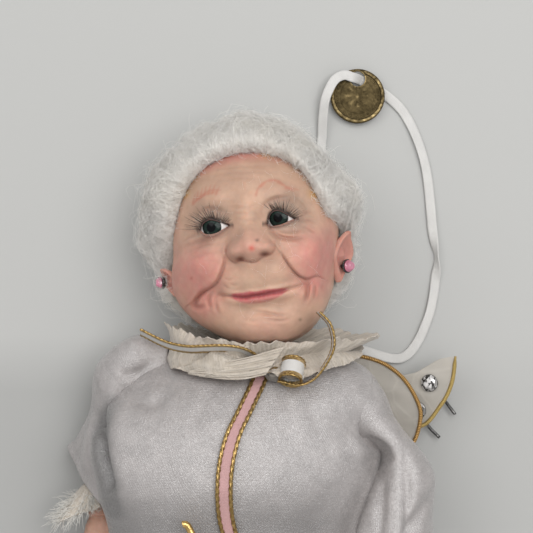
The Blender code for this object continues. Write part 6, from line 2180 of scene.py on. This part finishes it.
# Hands: direction across the palm, steps of a finger from its root, route of the thumb from the palm
HANDS = {
    "left": ((1, -0.1, 0.2), ((-1, -5, 1), (-2, -9.5, 3.5)), ((3, 1, 1.5), (6, -2, 4), (6.5, -6, 5.5))),
    "right": (
        (-0.62, 0.9, 0.3), ((-4.5, -2.8, 2.6), (-8.6, -5.0, 1.1), (-11, -6.4, -1.4), (-9.6, -5.6, -3.7)),
        ((1.0, -2.5, -1), (-2.5, -4.6, -3.4), (-7.6, -5.6, -4.4)),
    ),
}
# Cuffs: centre, direction, the side on which they are full, random seed of their threads
CUFFS = {
    "left": ((-49.2, -39, 17.2), (-0.06, -1, 0.08), -1.0, 61),
    "right": ((40.3, -76.4, 39.6), (-0.6, -0.75, 0.75), 1.0, 62),
}
CUFF_RADIUS, CUFF_THREADS = 4.3, 1400
# How the parts of a hand are run together
HAND_STEPS = {
    "REMESH": {"mode": "VOXEL", "voxel_size": 0.34 * MM},
    "SMOOTH": {"iterations": 3, "factor": 0.5},
}
PALM_OFFSETS, FINGER_OFFSETS = (-2.2, 0.0, 2.2), (-3.6, -1.2, 1.2, 3.6)
# Radii of a finger and of the thumb, at shares along them
FINGER_RADII = ((0, 0.35, 0.7, 0.93, 1), (1.35, 1.32, 1.22, 1.02, 0.45))
THUMB_RADII = ((0, 0.4, 0.8, 1), (1.9, 1.8, 1.5, 0.6))
WAND = ((-12, -58, 55.2), (2, -80, 55.6), (15, -101, 56), (24, -116, 56))
WAND_CROOK, WAND_BEND = np.array((-20.5, -45.0, 55.0)), 1.3


class DOLL_OT_hands(Piece, bpy.types.Operator):
    """Clay hands with soft fingers, gathered lace cuffs with loose threads, and the gold wand"""

    bl_idname = "doll.hands"
    bl_label = "Hands, cuffs and wand"

    def make(self, scene):
        face, trim = scene.doll_face, scene.doll_trim
        clay = skin_finish("hand_clay", face)
        lace = lace_finish("cuff_lace", trim.lace, 60.0, 12.0)
        for word in HANDS:
            self.hand(word, face, clay)
            self.cuff(word, lace)
        gold = metal_finish("wand_gold", rgb(trim.gold, 1.35), rgb(trim.gold, 0.35), 0.24, 500.0, 0.35, 0.55)
        bend = np.radians(np.linspace(110, 28.4, 16))[:, None]
        crook = WAND_CROOK + WAND_BEND * np.concatenate([np.cos(bend), np.sin(bend), 0 * bend], axis=1)
        path = np.vstack([crook[:-1], smooth_path([crook[-1], *WAND], 205)])
        share = shares(220)
        angle = circle(20)[None]
        turned = 1 + 0.07 * np.cos(3 * angle + 70 * share[:, None]) * ease(share, 0.06, 0.2)[:, None]
        wand = closed("wand_rod", tube(path, turned * (1 - 0.12 * share[:, None]), 20, (0.2, 0.1, 1)))
        dress(wand, gold, "arm_right", "gold_metal", "wand")
        steel = metal_finish("wire_steel", (0.55, 0.55, 0.56), (0.22, 0.22, 0.23), 0.3)
        for name in ("wire_frame", "arm_wire_left", "arm_wire_right"):
            wire = frame["nodes"][name]
            wire.data.materials.clear()
            wire.data.materials.append(steel)

    def hand(self, word, face, clay):
        """Tubes for forearm, palm, fingers and thumb, run together by an even remesh and smoothed."""
        path = smooth_path(FOREARMS[word], 40)
        wrist, ahead = path[-1], unit(path[-1] - path[-4])
        across, steps, thumb = HANDS[word]
        across = unit(np.array(across, float))
        palm = wrist + 4.5 * ahead
        parts = [closed("forearm", tube(path, 3.9, 24, (0.1, 0.2, 1)))]
        for offset in PALM_OFFSETS:
            middle = smooth_path(
                [wrist - ahead, palm + offset * across * 0.8, palm + 2.4 * ahead + offset * across], 16
            )
            swell = 3.0 * arch(np.linspace(0.2, 0.8, 16))
            parts.append(closed("palm", tube(middle, swell, 20, (0.13, 0.2, 1))))
        for offset in FINGER_OFFSETS:
            root = palm + offset * across
            line = smooth_path([root - 0.2 * np.array(steps[0]), *(root + step for step in steps)], 20)
            radius = stations(shares(20), *FINGER_RADII)
            parts.append(closed("finger", tube(line, radius, 14, (0.13, 0.22, 1))))
        line = smooth_path(palm + np.array(thumb, float), 18)
        radius = stations(shares(18), *THUMB_RADII)
        parts.append(closed("thumb", tube(line, radius, 14, (0.13, 0.22, 1))))
        hand = merge(f"hand_clay_{word}", parts)
        for layer in list(hand.data.uv_layers):
            hand.data.uv_layers.remove(layer)
        bpy.context.view_layer.objects.active = hand
        for kind, values in HAND_STEPS.items():
            step = hand.modifiers.new(kind, kind)
            for key, value in values.items():
                setattr(step, key, value)
            bpy.ops.object.modifier_apply(modifier=step.name)
        shade(hand.data)
        place = places(hand) / MM - (0, BACK_REST, 0)
        far = np.linalg.norm(place - palm, axis=1)
        paint = np.tile(rgb(face.skin), (len(place), 1))
        tips = 0.55 * ease(far, 5.0, 10.0) * ((place - palm) @ ahead > 0)
        mark(hand, "paint", wash(paint, rgb(face.blush), tips + 0.15))
        dress(hand, clay, f"arm_{word}", "clay_skin", f"hand_{word}")

    def cuff(self, word, lace):
        """A gathered ruffle flaring from the wrist, and loose threads teased out of its edge."""
        centre, along, outward, seed = CUFFS[word]
        axis, side, lift = square_axes(along)
        turn = circle(216)[None, :, None]
        run = shares(26)[:, None, None]
        full = ease(outward * wheel(turn, side[0], lift[0]), -0.3, 0.9)
        ruffle = 0.85 * np.cos(6 * turn) + 0.5 * np.cos(13 * turn + 1) + 0.25 * np.cos(29 * turn)
        radius = CUFF_RADIUS + 9 * (0.25 + 0.55 * full) * run**0.9 + run * ruffle
        reach = (5.5 + 5.0 * full) * run + 0.7 * run * np.sin(6 * turn + 0.7)
        points = np.array(centre) + radius * wheel(turn, side, lift) + reach * axis
        cuff = thicken(surface(f"cuff_lace_{word}", points, (False, True)), LACE_THICK)
        dress(cuff, lace, f"arm_{word}", "lace", f"cuff_{word}")
        draw, count = np.random.default_rng(seed), CUFF_THREADS
        pick = picker(draw, count)
        a, r = pick(0, TAU), pick(0.25, 1.0)
        spoke = wheel(a, side, lift)
        full = ease(outward * spoke[:, :1], -0.3, 0.9)
        root = (
            np.array(centre) + (CUFF_RADIUS + (2.2 + 5.0 * full) * r) * spoke
            + (5.5 + 5.0 * full) * r * axis
        )
        aim = unit(spoke * pick(0.2, 1.2) + axis * pick(0.2, 1.4) + draw.normal(0, 0.35, (count, 3)))
        t = shares(8)[None, :, None]
        reach = draw.uniform(1.5, 6.0, (count, 1, 1)) * (0.5 + 0.6 * full[:, None])
        bend = draw.normal(0, 1.0, (count, 1, 3))
        curl = draw.normal(0, 0.35, (count, 1, 3)) * np.sin(t * draw.uniform(3, 8, (count, 1, 1)))
        paths = root[:, None] + aim[:, None] * reach * t + bend * t**2 + curl * t
        paths[..., 2] = np.maximum(paths[..., 2], 0.6)
        threads = strand_mesh(f"cuff_threads_{word}", paths, 0.09 * (1 - 0.4 * t[..., 0]), 3)
        dress(threads, thread_finish(f"cuff_threads_{word}"), f"arm_{word}", "lace")


def thread_finish(name):
    """Loose cotton threads: off-white, a little uneven in tone."""
    f = Finish(name, Roughness=0.75, Sheen_Weight=0.3, Specular_IOR_Level=0.25)
    tone = f.grain(500.0)["Tone"]
    return f.set(Base_Color=f.fade(tone, 0.3, 0.7, (0.68, 0.65, 0.60), (0.88, 0.86, 0.81)))


OPERATORS = (
    DOLL_OT_stage,
    DOLL_OT_tag,
    DOLL_OT_hanging_ribbon,
    DOLL_OT_head,
    DOLL_OT_eyes,
    DOLL_OT_earrings,
    DOLL_OT_hair,
    DOLL_OT_gown,
    DOLL_OT_body,
    DOLL_OT_collar,
    DOLL_OT_bow,
    DOLL_OT_wings,
    DOLL_OT_hands,
)


# Add-on

class DOLL_PT_panel(bpy.types.Panel):
    """One button for each piece, in the order in which they are made"""

    bl_label = "Fairy doll"
    bl_idname = "DOLL_PT_panel"
    bl_space_type = "VIEW_3D"
    bl_region_type = "UI"
    bl_category = "Fairy doll"

    def draw(self, context):
        for operator in OPERATORS:
            self.layout.operator(operator.bl_idname)
        for name, _ in SETTINGS:
            box = self.layout.box()
            settings = getattr(context.scene, name)
            for key in settings.bl_rna.properties.keys():
                if key not in ("rna_type", "name"):
                    box.prop(settings, key)


SETTINGS = (
    ("doll_stage", DollStage),
    ("doll_face", DollFace),
    ("doll_hair", DollHair),
    ("doll_cloth", DollCloth),
    ("doll_trim", DollTrim),
)


def register():
    for _, kind in SETTINGS:
        bpy.utils.register_class(kind)
    for kind in (*OPERATORS, DOLL_PT_panel):
        bpy.utils.register_class(kind)
    for name, kind in SETTINGS:
        setattr(bpy.types.Scene, name, PointerProperty(type=kind))


def unregister():
    for name, _ in reversed(SETTINGS):
        delattr(bpy.types.Scene, name)
    for kind in (DOLL_PT_panel, *reversed(OPERATORS)):
        bpy.utils.unregister_class(kind)
    for _, kind in reversed(SETTINGS):
        bpy.utils.unregister_class(kind)


def main():
    """Build every piece in order."""
    register()
    for operator in OPERATORS:
        family, action = operator.bl_idname.split(".")
        getattr(getattr(bpy.ops, family), action)()


if __name__ == "__main__":
    main()
